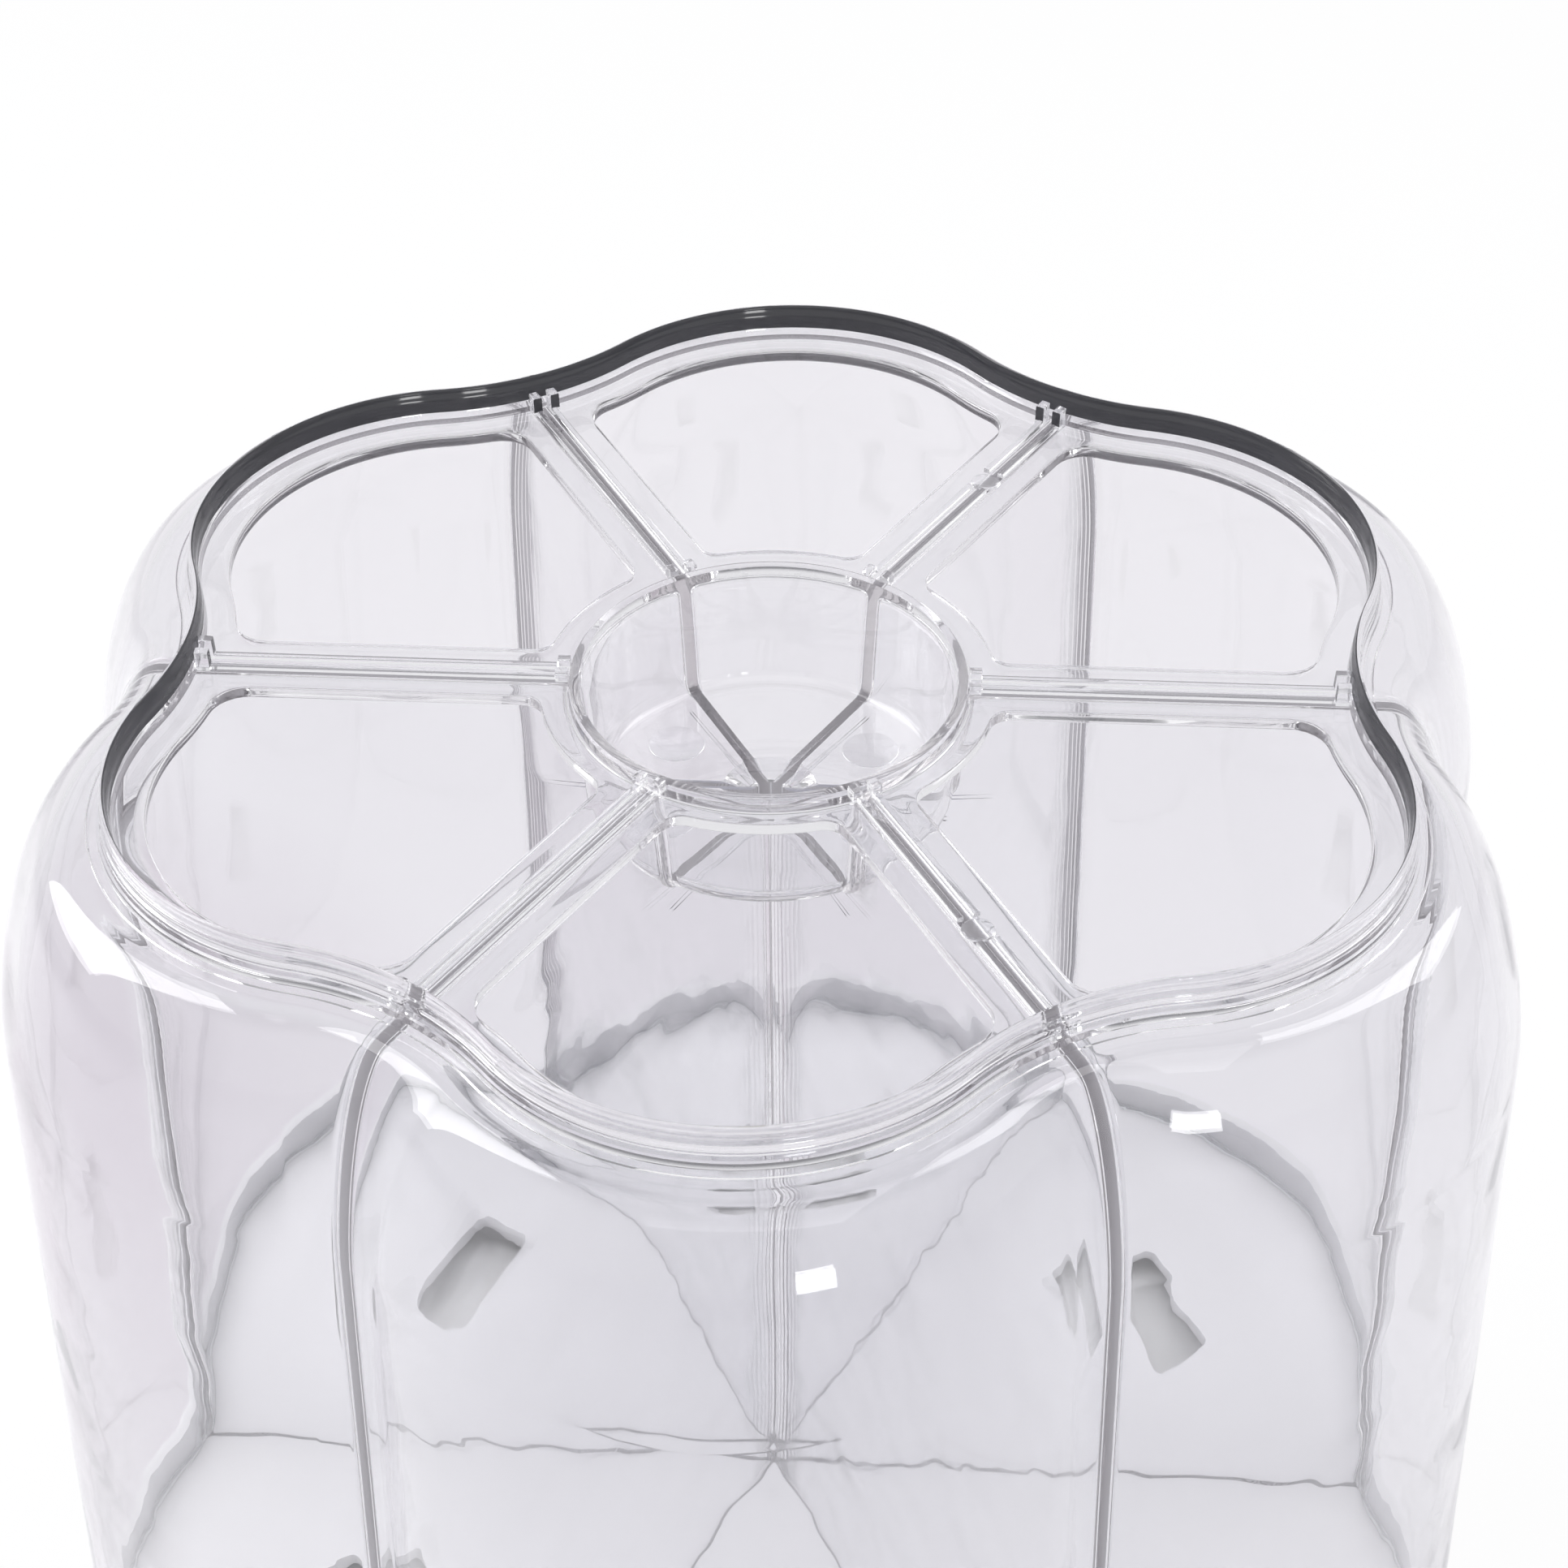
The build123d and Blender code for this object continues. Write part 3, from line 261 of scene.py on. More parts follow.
def cores():
    """Half a sector inside the skin, level by level.

    It has the foot's ring, a core's walls, the plate's underside, a window's edge, and the top of the plate
    back to the rim, the bowl and the next sector."""
    foot_drop, plate_drop = np.array([FOOT_DROP]), np.array([PLATE_DROP])
    foot = body_outline(foot_drop - PLATE_DROP)
    foot_ring = levels(shared_half(foot, 0.0), blend_heights(foot_drop, foot_drop))
    walls = core_walls()
    quarter = np.linspace(0, pi / 2, EDGE_STEPS)
    grow = WINDOW_EDGE * np.concatenate([1 - np.sin(quarter), 1 - np.cos(quarter)])
    lower_drop = UNDER_DROP - WINDOW_EDGE * (1 - np.cos(quarter))
    upper_drop = PLATE_DROP + WINDOW_EDGE * (1 - np.sin(quarter))
    edge_drop = np.concatenate([lower_drop, upper_drop])
    outline = RIM_EDGE - WINDOW_BAND * SPREAD + grow[:, None] * SPREAD
    rounds = (WINDOW_INNER_ROUND + grow, WINDOW_OUTER_ROUND + grow)
    half = cell_half(outline, WINDOW_INNER - grow, WINDOW_SIDE - grow, *rounds)
    window = levels(half, blend_heights(edge_drop, edge_drop))
    seam_line = (RIM_EDGE - RIM_FOOT * SPREAD)[None, :]
    seam = levels(shared_half(seam_line, BOWL_OUTSIDE), blend_heights(plate_drop, plate_drop))
    share = np.linspace(0, 1, RING_STEPS)[None, :, None]
    under_ring = walls[:, -1:] * (1 - share) + window[:, :1] * share
    top_ring = window[:, -1:] * (1 - share) + seam * share
    return np.concatenate([foot_ring, walls, under_ring[:, 1:-1], window, top_ring[:, 1:]], axis=1)


def skin_levels():
    """The outer skin along the rim's section, down the shoulder with levels at t squared, and the skirt."""
    shoulder = SHOULDER * np.linspace(0, 1, SHOULDER_STEPS) ** 2
    skirt = np.linspace(SHOULDER, FOOT_DROP - PLATE_DROP, SKIRT_STEPS)[1:]
    under_ledge = np.concatenate([shoulder, skirt])
    outline = np.concatenate([RIM_EDGE + RIM_SECTION[:, :1] * SPREAD, body_outline(under_ledge)])
    drop = np.concatenate([RIM_SECTION[:, 1], PLATE_DROP + under_ledge])
    half = outer_half(outline, 0 * drop, DIP_STEPS + ROUND_STEPS)
    return levels(half, np.broadcast_to(drop, half.shape[:2]))


def bowl_levels():
    """The bowl's profile turned about the axis, with points where the compartments' seams have theirs."""
    profile = np.concatenate([
        [(BOWL_OUTSIDE, PLATE_DROP), (BOWL_OUTSIDE, BOWL_TOP)],
        corner_arc(BOWL_OUTSIDE - BOWL_EDGE, BOWL_TOP, BOWL_EDGE, 0, -90, 3)[1:],
        corner_arc(BOWL_INSIDE, BOWL_TOP, BOWL_EDGE, -90, -180, 3),
        np.linspace(*BOWL_SIDE, 6),
        corner_arc(*BOWL_CORNER, 5, 90, 7),
        [(radius, BOWL_FLOOR) for radius in BOWL_FLOOR_RADII],
    ])
    turn = np.linspace(SECTOR / 2, 0, ARC_STEPS + ROUND_STEPS + 1)
    x = np.cos(turn)[:, None] * profile[:, 0]
    y = np.sin(turn)[:, None] * profile[:, 0]
    return np.stack([x, y, np.broadcast_to(RIM_TOP - profile[:, 1], x.shape)], axis=-1)


# two ribs run along each divider, with wider blocks at the bowl and at the rim. A rib or a block is given
# by its half width and its distance from the divider's middle, and their places by radius and height
RIB, BLOCK = (0.65, 1.6), (0.95, 1.95)
RIB_START, RIB_END, RIB_HEIGHT, RIB_ROUND, RIB_STEPS = 40.1, 105.4, 1.0, 0.3, 7
BOWL_BLOCK = ((37.6, 2.2), (39.9, 2.2))
RIM_BLOCK = ((105.45, 1.0), (105.6, 4.1), (107.0, 4.2), (108.1, 4.2))
# two dividers carry the mark of the mould's gate, a low button, and the bowl's floor has four round marks
# of the ejector pins. Sections are (reach, rise), and all details float clear of the faces they stand on
GATE_PLACE, GATE_SPACE, GATE_SECTORS = 80.0, 3.3, (1, 5)
GATE_SECTION = ((0, 0.55), (1.6, 0.5), (2.6, 0.45), (2.9, 0.3), (3.0, 0.02), (0, 0.02))
PIN_PLACE, PIN_TURNS = 21.9, (30, 150, 210, 330)
PIN_SECTION = ((0, 0.16), (5.2, 0.16), (5.45, 0.1), (5.5, 0.02), (0, 0.02))
MARK_STEPS = 49
FLOAT = 0.02


def rib(stations):
    """A bar on the plate with a rounded top, from (radius, height, half width, side) stations.

    Each section is a rounded rectangle, and it shrinks to its middle at both ends to close the bar."""
    radius, height, half, side = np.array(stations, float).T[..., None]
    round_top = np.radians(np.linspace(180, 0, RIB_STEPS))
    across = np.concatenate([[-1.0], np.sign(np.cos(round_top)), [1.0, -1.0]])
    bend = np.concatenate([[0.0], np.cos(round_top) - np.sign(np.cos(round_top)), [0.0, 0.0]])
    y = side + half * across + RIB_ROUND * bend
    up_share = np.concatenate([[0.0], np.ones(RIB_STEPS), [0.0, 0.0]])
    up_round = np.concatenate([[0.0], RIB_ROUND * np.sin(round_top) - RIB_ROUND, [0.0, 0.0]])
    z = np.clip(height * up_share + up_round, 0, None)
    section = np.stack(np.broadcast_arrays(radius, y, RIM_TOP - PLATE_DROP + FLOAT + z), axis=-1)
    middle = section.mean(axis=1, keepdims=True)
    ends = [np.broadcast_to(middle[k], section[k].shape)[None] for k in (0, -1)]
    return np.concatenate([ends[0], section, ends[1]])


def ribs():
    """Two ribs with their blocks along each divider, left open round the gate marks."""
    near = [(*place, *BLOCK) for place in BOWL_BLOCK] + [(RIB_START, RIB_HEIGHT, *RIB)]
    far = [(RIB_END, RIB_HEIGHT, *RIB)] + [(*place, *BLOCK) for place in RIM_BLOCK]
    stop, resume = ((GATE_PLACE + gap, RIB_HEIGHT, *RIB) for gap in (-GATE_SPACE, GATE_SPACE))
    grids = []
    for k in range(SECTORS):
        bars = [near + [stop], [resume] + far] if k in GATE_SECTORS else [near + far]
        for stations in bars:
            grids += [rib([(*s[:3], sign * s[3]) for s in stations]) @ sector_turn(k) for sign in (-1, 1)]
    return grids


def round_mark(place, degrees_round, drop, section):
    """A low round mark: its section turned about its own upright axis and closed below."""
    turn = np.linspace(0, 2 * pi, MARK_STEPS)
    reach, rise = np.array(section, float).T
    x = place * cos(radians(degrees_round)) + np.cos(turn)[:, None] * reach
    y = place * sin(radians(degrees_round)) + np.sin(turn)[:, None] * reach
    return np.stack([x, y, np.broadcast_to(RIM_TOP - drop + rise, x.shape)], axis=-1)


details = ribs()
details += [round_mark(GATE_PLACE, 360 / SECTORS * k, PLATE_DROP, GATE_SECTION) for k in GATE_SECTORS]
details += [round_mark(PIN_PLACE, turn, BOWL_FLOOR, PIN_SECTION) for turn in PIN_TURNS]
body_grids = full_turn(cores()) + full_turn(skin_levels()) + full_turn(bowl_levels())
hopper = mesh_piece("clear_hopper", body_grids + details)
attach(hopper, "hopper")
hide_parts("hopper_shell")


def linear(code):
    """sRGB hex colour to linear red, green, blue and alpha."""
    values = np.array([int(code[i:i + 2], 16) for i in (1, 3, 5)]) / 255
    return (*np.where(values <= 0.04045, values / 12.92, ((values + 0.055) / 1.055) ** 2.4), 1.0)


def add(tree, kind, settings=None, links=None, **inputs):
    """Adds a node, sets its properties and input values, and links its inputs from (node, output) pairs."""
    node = tree.nodes.new(kind)
    for key, value in (settings or {}).items():
        setattr(node, key, value)
    for key, value in inputs.items():
        node.inputs[key.replace("_", " ")].default_value = value
    for key, (source, output) in (links or {}).items():
        tree.links.new(source.outputs[output], node.inputs[key])
    return node


def new_material(name):
    """An empty node material, its tree and its output node."""
    material = bpy.data.materials.new(name)
    material.use_nodes = True
    material.node_tree.nodes.clear()
    return material, material.node_tree, add(material.node_tree, "ShaderNodeOutputMaterial")


STYRENE_IOR = 1.57
FLOW_LENGTH, FLOW_RELIEF = 38.46, 1.1
UPRIGHT_WAVE, LEVEL_WAVE = 0.55, 0.2
BOUNCES, PAINTED_GLOW_AFTER = 32, 24.0
MOTTLE = 16.67


def clear_body(tree, out):
    """Polished clear styrene: a refracting body with the melt's slight waviness, which lets lamps shine in,
    and a painted grey glow where a path stays in its walls past two dozen bounces.

    The waves are stronger on upright walls than on level faces, by the size of the normal's Z."""
    place = add(tree, "ShaderNodeTexCoord")
    links = {"Vector": (place, "Object")}
    flow = add(tree, "ShaderNodeTexNoise", links=links, Scale=1 / (FLOW_LENGTH * MM), Detail=1.5)
    face = add(tree, "ShaderNodeNewGeometry")
    facing = add(tree, "ShaderNodeSeparateXYZ", links={0: (face, "Normal")})
    level = add(tree, "ShaderNodeMath", {"operation": "ABSOLUTE"}, {0: (facing, "Z")})
    links = {"Value": (level, 0)}
    upright = add(tree, "ShaderNodeMapRange", links=links, To_Min=UPRIGHT_WAVE, To_Max=LEVEL_WAVE)
    links = {"Height": (flow, "Fac"), "Strength": (upright, 0)}
    wave = add(tree, "ShaderNodeBump", links=links, Distance=FLOW_RELIEF * MM)
    body = add(
        tree, "ShaderNodeBsdfPrincipled", links={"Normal": (wave, "Normal")},
        Base_Color=linear("#fafafb"), Roughness=0.0, IOR=STYRENE_IOR, Transmission_Weight=1.0,
    )
    lit = add(tree, "ShaderNodeBsdfTransparent", Color=linear("#f8f8f9"))
    path = add(tree, "ShaderNodeLightPath")
    links = {0: (path, "Is Shadow Ray"), 1: (body, "BSDF"), 2: (lit, "BSDF")}
    through = add(tree, "ShaderNodeMixShader", links=links)
    # painted glow: a path still in a wall after two dozen bounces ends in an emission of the plastic's grey
    # tone, which stands in for the light it would carry
    painted_glow_switch = add(tree, "ShaderNodeMath", {"operation": "GREATER_THAN"}, {0: (path, "Ray Depth")})
    painted_glow_switch.inputs[1].default_value = PAINTED_GLOW_AFTER
    tone = add(tree, "ShaderNodeEmission", Color=linear("#c4c3c9"), Strength=1.0)
    # the pigment that keeps the styrene from looking yellow takes a little of each colour
    tint = add(tree, "ShaderNodeVolumeAbsorption", Color=linear("#dbd9da"), Density=13.0)
    tree.links.new(tint.outputs[0], out.inputs["Volume"])
    return add(tree, "ShaderNodeMixShader", links={0: (painted_glow_switch, 0), 1: (through, 0), 2: (tone, 0)})


# clear styrene acrylonitrile, injection moulded and highly polished: sharp lamp reflections, a cool grey tint
# where it is thick, a painted grey glow where light stays in its walls for many bounces, and a slight
# waviness from the melt's flow
clear_styrene, tree, out = new_material("moulded_clear_styrene")
shader = clear_body(tree, out)
tree.links.new(shader.outputs[0], out.inputs["Surface"])

# the same styrene with a painted dark reflection on the rim's inside face: a charcoal colour stands in for
# the dark room that the face turns to the eye. It is painted on the side seen from the windows, and the rim
# stays clear from outside
rim_painted_dark, tree, out = new_material("moulded_clear_styrene_rim_painted_dark_reflection")
shader = clear_body(tree, out)
place = add(tree, "ShaderNodeTexCoord")
links = {"Vector": (place, "Object")}
# painted dark reflection: two charcoal tones in soft random mottle, with a gloss on top
mottle = add(tree, "ShaderNodeTexNoise", links=links, Scale=1 / (MOTTLE * MM), Detail=2.0)
tone = add(tree, "ShaderNodeMix", {"data_type": "RGBA"}, {"Factor": (mottle, "Fac")})
tone.inputs[6].default_value, tone.inputs[7].default_value = linear("#2c2c30"), linear("#3c3c41")
dark = add(tree, "ShaderNodeBsdfPrincipled", links={"Base Color": (tone, 2)}, Roughness=0.08, IOR=STYRENE_IOR)
side = add(tree, "ShaderNodeNewGeometry")
mix = add(tree, "ShaderNodeMixShader", links={0: (side, "Backfacing"), 1: (dark, "BSDF"), 2: (shader, 0)})
tree.links.new(mix.outputs[0], out.inputs["Surface"])

# the painted dark reflection goes on the rim's inside face, which lies beyond RIM_REACH and above its foot,
# and on the rim blocks' inward faces, which lie between two radii. Both lean inward: the least share of the
# normal that points to the axis
RIM_REACH, RIM_FACE_DROP, RIM_INWARD = 104, 5.12, 0.15
TOOTH_REACH, TOOTH_DROP, TOOTH_INWARD = (105, 106), 7.0, 0.9
hopper.data.materials.append(clear_styrene)
hopper.data.materials.append(rim_painted_dark)
faces = hopper.data.polygons
centre, normal = np.empty(len(faces) * 3), np.empty(len(faces) * 3)
faces.foreach_get("center", centre)
faces.foreach_get("normal", normal)
centre, normal = centre.reshape(-1, 3) / MM, normal.reshape(-1, 3)
reach = np.hypot(centre[:, 0], centre[:, 1])
inward = -(centre[:, :2] * normal[:, :2]).sum(axis=1) / reach
drop = RIM_TOP - centre[:, 2]
rim_painted_dark_faces = (inward > RIM_INWARD) & (reach > RIM_REACH) & (drop < RIM_FACE_DROP)
in_tooth = (reach > TOOTH_REACH[0]) & (reach < TOOTH_REACH[1]) & (drop < TOOTH_DROP)
tooth_painted_dark_faces = (inward > TOOTH_INWARD) & in_tooth
# these faces take the painted dark reflection, and the rest take the clear styrene
faces.foreach_set("material_index", (rim_painted_dark_faces | tooth_painted_dark_faces).astype(np.int32))

# Turntable and base housing: two white ABS mouldings. The turntable closes the compartments from below
# with one outlet each and turns on the spindle. The housing is the round drum below it, with a bay for
# a cup under the spout.
ABS_IOR = 1.53
ROUGHNESS_SPREAD = (-0.05, 0.07)


def moulded(tree, low, high, roughness, blotch, grain, relief, **more):
    """A moulded surface: two close tones in soft blotches, and a fine spark-eroded grain.

    Blotch, grain and relief are in millimetres, and the roughness spreads a little with the blotches."""
    place = add(tree, "ShaderNodeTexCoord")
    links = {"Vector": (place, "Object")}
    cloud = add(tree, "ShaderNodeTexNoise", links=links, Scale=1 / (blotch * MM), Detail=3.0)
    tone = add(tree, "ShaderNodeMix", {"data_type": "RGBA"}, {"Factor": (cloud, "Fac")})
    tone.inputs[6].default_value, tone.inputs[7].default_value = linear(low), linear(high)
    spark = add(tree, "ShaderNodeTexNoise", links=links, Scale=1 / (grain * MM), Detail=2.0)
    bump = add(tree, "ShaderNodeBump", links={"Height": (spark, "Fac")}, Strength=0.6, Distance=relief * MM)
    smooth, dull = (roughness + spread for spread in ROUGHNESS_SPREAD)
    worn = add(tree, "ShaderNodeMapRange", links={"Value": (cloud, "Fac")}, To_Min=smooth, To_Max=dull)
    links = {"Base Color": (tone, 2), "Normal": (bump, 0), "Roughness": (worn, 0)}
    # light inside a pale plastic spreads alike in all three colours
    return add(tree, "ShaderNodeBsdfPrincipled", links=links, Subsurface_Radius=(1, 1, 1), **more)


def dress(material, *names):
    """Gives a material to CAD nodes by name."""
    for name in names:
        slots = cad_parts[name].data.materials
        slots.clear()
        slots.append(material)


# white ABS from a fine-grained mould: a soft satin sheen with barely visible flow tones, and light
# that reaches some way into its edges
satin_abs, tree, out = new_material("moulded_white_abs")
depth = dict(Subsurface_Weight=0.3, Subsurface_Scale=8 * MM)
body = moulded(tree, "#e3e2e4", "#ebeaec", 0.34, 45, 0.5, 0.02, IOR=ABS_IOR, **depth)
tree.links.new(body.outputs[0], out.inputs["Surface"])
dress(satin_abs, "turntable", "base_housing")

# Gasket and outlet seal: pressed silicone, the first in the turntable's groove under the hopper's foot,
# the second in the deck round the chute's opening.

# pressed silicone rubber: milky, slightly see-through and dull
silicone, tree, out = new_material("pressed_silicone_rubber")
depth = dict(Subsurface_Weight=0.3, Subsurface_Scale=2 * MM)
body = moulded(tree, "#dfe1e3", "#e9eaec", 0.55, 12, 0.3, 0.015, IOR=1.41, **depth)
tree.links.new(body.outputs[0], out.inputs["Surface"])
dress(silicone, "shell_gasket", "outlet_seal")

# Base plate, deck, chute, spring bracket and detent cap: inner mouldings of unpolished ABS. Screws hold
# them to the housing and to the deck, and the cap plugs the detent's boss.

# matte ABS from an unpolished mould: dull, with a coarser grain
matte_abs, tree, out = new_material("moulded_matte_abs")
body = moulded(tree, "#e0e0e0", "#e9e9e8", 0.6, 30, 0.8, 0.04, IOR=ABS_IOR)
tree.links.new(body.outputs[0], out.inputs["Surface"])
dress(matte_abs, "base_plate", "deck", "outlet_chute", "spring_bracket", "detent_cap")

# Feet: six rubber feet, moulded with a neck and pressed into the base plate.

# thermoplastic rubber: near black, dull, with a dusty bloom in soft patches
foot_rubber, tree, out = new_material("moulded_black_rubber")
body = moulded(tree, "#1b1b1d", "#2b2b2e", 0.72, 6, 0.25, 0.03, IOR=1.5)
tree.links.new(body.outputs[0], out.inputs["Surface"])
dress(foot_rubber, "rubber_feet")

# Glides, gate, bush and detent: turned and milled acetal. The glides carry the turntable on the deck,
# the gate slides between the deck and the chute, and the plunger clicks into the ring.
ACETAL_IOR = 1.48

# natural acetal: ivory white, waxy and a little see-through at its edges
acetal, tree, out = new_material("machined_natural_acetal")
depth = dict(Subsurface_Weight=0.2, Subsurface_Scale=3 * MM)
body = moulded(tree, "#ebe7dc", "#f1eee4", 0.38, 20, 0.4, 0.01, IOR=ACETAL_IOR, **depth)
tree.links.new(body.outputs[0], out.inputs["Surface"])
dress(acetal, "glide_ring", "glide_pads", "gate_plate", "bearing_bush", "detent_ring", "detent_plunger")

# Button: a moulded slider of grey ABS that is screwed to the gate plate and pushed in by a finger.

# slate grey ABS, rubbed smooth by fingers: darker satin with small tone changes
button_abs, tree, out = new_material("moulded_grey_abs")
body = moulded(tree, "#8b8f95", "#969a9f", 0.36, 14, 0.4, 0.015, IOR=ABS_IOR)
tree.links.new(body.outputs[0], out.inputs["Surface"])
dress(button_abs, "push_button")

# Bezel: a moulded frame that is pressed into the housing's wall and guides the button.

# light grey ABS with the same fine grain
bezel_abs, tree, out = new_material("moulded_light_grey_abs")
body = moulded(tree, "#c6c7c9", "#cfd0d2", 0.4, 20, 0.5, 0.02, IOR=ABS_IOR)
tree.links.new(body.outputs[0], out.inputs["Surface"])
dress(bezel_abs, "button_bezel")

# Spindle, washer and screws: turned, pressed and headed steel with a bright zinc coat. The spindle is
# screwed to the turntable, and the washer and its screw hold it below the hub.
COAT_CLOUD, TURNING_PITCH, TURNING_DEPTH = 3, 2, 0.01

# zinc plated steel: bright grey metal, clouded by the passivated coat, with turning marks drawn
# coarser than the real ones so that they show
zinc_steel, tree, out = new_material("zinc_plated_steel")
place = add(tree, "ShaderNodeTexCoord")
links = {"Vector": (place, "Object")}
cloud = add(tree, "ShaderNodeTexNoise", links=links, Scale=1 / (COAT_CLOUD * MM), Detail=4.0)
tone = add(tree, "ShaderNodeMix", {"data_type": "RGBA"}, {"Factor": (cloud, "Fac")})
tone.inputs[6].default_value, tone.inputs[7].default_value = linear("#a9abb0"), linear("#c3c4c6")
rings = {"wave_type": "RINGS", "rings_direction": "Z"}
turned = add(tree, "ShaderNodeTexWave", rings, links, Scale=1 / (TURNING_PITCH * MM))
links = {"Height": (turned, "Fac")}
cut = add(tree, "ShaderNodeBump", links=links, Strength=0.3, Distance=TURNING_DEPTH * MM)
dull = add(tree, "ShaderNodeMapRange", links={"Value": (cloud, "Fac")}, To_Min=0.22, To_Max=0.4)
links = {"Base Color": (tone, 2), "Normal": (cut, 0), "Roughness": (dull, 0)}
body = add(tree, "ShaderNodeBsdfPrincipled", links=links, Metallic=1.0)
tree.links.new(body.outputs[0], out.inputs["Surface"])
dress(zinc_steel, "spindle", "retaining_washer", *[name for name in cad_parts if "screw" in name])

# Springs: drawn steel wire coiled on a mandrel. Two behind the gate push the button out, and one
# under the detent plunger holds it up to its ring.
GATE_STROKE, GATE_WIRE, GATE_TURNS = 20.0, 0.7, 12
DETENT_STROKE, DETENT_WIRE, DETENT_TURNS = 1.5, 0.5, 6
TURN_STEPS, WIRE_STEPS, DRAWING_MARK = 24, 9, 0.4


def coil(centre, axis, radius, wire, length, turns):
    """A wire carried along a helix, its pitch closing to the wire's width over the last turn at each end."""
    steps = np.linspace(0, 1, TURN_STEPS * turns + 1)
    open_share = np.clip(np.minimum(steps, 1 - steps) * turns, 0, 1)
    rise = np.concatenate([[0], np.cumsum((wire + open_share * length / turns)[:-1])])
    along = (rise / rise[-1] - 0.5) * (length - wire)
    turn = 2 * pi * turns * steps
    ring = np.linspace(0, 2 * pi, WIRE_STEPS)
    reach = radius + wire / 2 * np.outer(np.cos(ring), np.ones(len(steps)))
    height = along + wire / 2 * np.outer(np.sin(ring), np.ones(len(steps)))
    grid = np.stack([reach * np.cos(turn), reach * np.sin(turn), height], axis=-1).swapaxes(0, 1)
    middle = np.stack([radius * np.cos(turn), radius * np.sin(turn), along], axis=-1)
    ends = [np.broadcast_to(middle[k], grid[k].shape)[None] for k in (0, -1)]
    grid = np.concatenate([ends[0], grid, ends[1]])
    if axis == "Y":
        grid = grid[..., [0, 2, 1]]
    return grid + np.array(centre)


# patented spring steel wire: dark bright grey with drawing marks along it
spring_wire, tree, out = new_material("drawn_spring_steel")
place = add(tree, "ShaderNodeTexCoord")
links = {"Vector": (place, "Object")}
marks = add(tree, "ShaderNodeTexNoise", links=links, Scale=1 / (DRAWING_MARK * MM), Detail=2.0)
tone = add(tree, "ShaderNodeMix", {"data_type": "RGBA"}, {"Factor": (marks, "Fac")})
tone.inputs[6].default_value, tone.inputs[7].default_value = linear("#77797d"), linear("#8f9195")
body = add(tree, "ShaderNodeBsdfPrincipled", links={"Base Color": (tone, 2)}, Metallic=1.0, Roughness=0.3)
tree.links.new(body.outputs[0], out.inputs["Surface"])

low, high = (np.array(corner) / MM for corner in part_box("gate_springs"))
middle, size = (low + high) / 2, high - low
radius = size[2] / 2 - GATE_WIRE / 2
places = [(x, middle[1], middle[2]) for x in (low[0] + size[2] / 2, high[0] - size[2] / 2)]
coils = [coil(spot, "Y", radius, GATE_WIRE, size[1], GATE_TURNS) for spot in places]
gate_coils = mesh_piece("gate_spring_coils", coils)
gate_coils.data.materials.append(spring_wire)
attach(gate_coils, "base")
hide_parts("gate_springs")
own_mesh(gate_coils)

low, high = (np.array(corner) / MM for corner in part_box("detent_spring"))
middle, size = (low + high) / 2, high - low
radius = size[0] / 2 - DETENT_WIRE / 2
coils = [coil(middle, "Z", radius, DETENT_WIRE, size[2], DETENT_TURNS)]
detent_coil = mesh_piece("detent_spring_coil", coils)
detent_coil.data.materials.append(spring_wire)
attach(detent_coil, "base")
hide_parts("detent_spring")
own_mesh(detent_coil)

# Floor: a wide sheet of matte white paper. Part of it glows to the eye and through clear plastic, so that it
# reads as a white background and still keeps the object's shadow. The glow seen through the plastic is
# painted shade, darker close to the hopper.
FLOOR_HALF, GLOW_SHARE = 20, 0.9
# place and radii, in metres, of the painted shadow that the floor shows through the plastic
PAINTED_SHADE_PLACE, PAINTED_SHADE_START, PAINTED_SHADE_END = (-0.3, 0.15, 0), 0.06, 0.22
floor_mesh = bpy.data.meshes.new("studio_floor")
corners = [(x * FLOOR_HALF, y * FLOOR_HALF, 0) for x, y in ((-1, -1), (1, -1), (1, 1), (-1, 1))]
floor_mesh.from_pydata(corners, [], [(0, 1, 2, 3)])
floor = bpy.data.objects.new("studio_floor", floor_mesh)
bpy.context.scene.collection.objects.link(floor)

# white paper: seen through the plastic it glows in a painted shade a little darker than it is to the eye, and
# a painted shadow makes it darkest beyond the hopper's left wall, where the studio is dim
paper, tree, out = new_material("white_paper_floor")
matte = add(tree, "ShaderNodeBsdfDiffuse", Color=linear("#f4f4f5"))
path = add(tree, "ShaderNodeLightPath")
spot = add(tree, "ShaderNodeTexCoord")
away = add(tree, "ShaderNodeVectorMath", {"operation": "DISTANCE"}, {0: (spot, "Object")})
away.inputs[1].default_value = PAINTED_SHADE_PLACE
painted_shade_pool = add(tree, "ShaderNodeMapRange", links={"Value": (away, "Value")}, From_Min=PAINTED_SHADE_START, From_Max=PAINTED_SHADE_END)
# painted shade: dark close to the place and pale far from it, glowing to rays through the plastic
through_plastic_painted_shade = add(tree, "ShaderNodeMix", {"data_type": "RGBA"}, {"Factor": (painted_shade_pool, 0)})
through_plastic_painted_shade.inputs[6].default_value, through_plastic_painted_shade.inputs[7].default_value = linear("#d8ced9"), linear("#f4f2f6")
links = {"Factor": (path, "Is Camera Ray"), 6: (through_plastic_painted_shade, 2)}
sight = add(tree, "ShaderNodeMix", {"data_type": "RGBA"}, links)
sight.inputs[7].default_value = 1, 1, 1, 1
glow = add(tree, "ShaderNodeEmission", links={"Color": (sight, 2)}, Strength=1.0)
links = {0: (path, "Is Camera Ray"), 1: (path, "Is Transmission Ray")}
seen = add(tree, "ShaderNodeMath", {"operation": "MAXIMUM"}, links)
share = add(tree, "ShaderNodeMath", {"operation": "MULTIPLY"}, {0: (seen, 0)})
share.inputs[1].default_value = GLOW_SHARE
mix = add(tree, "ShaderNodeMixShader", links={0: (share, 0), 1: (matte, 0), 2: (glow, 0)})
tree.links.new(mix.outputs[0], out.inputs["Surface"])
floor.data.materials.append(paper)

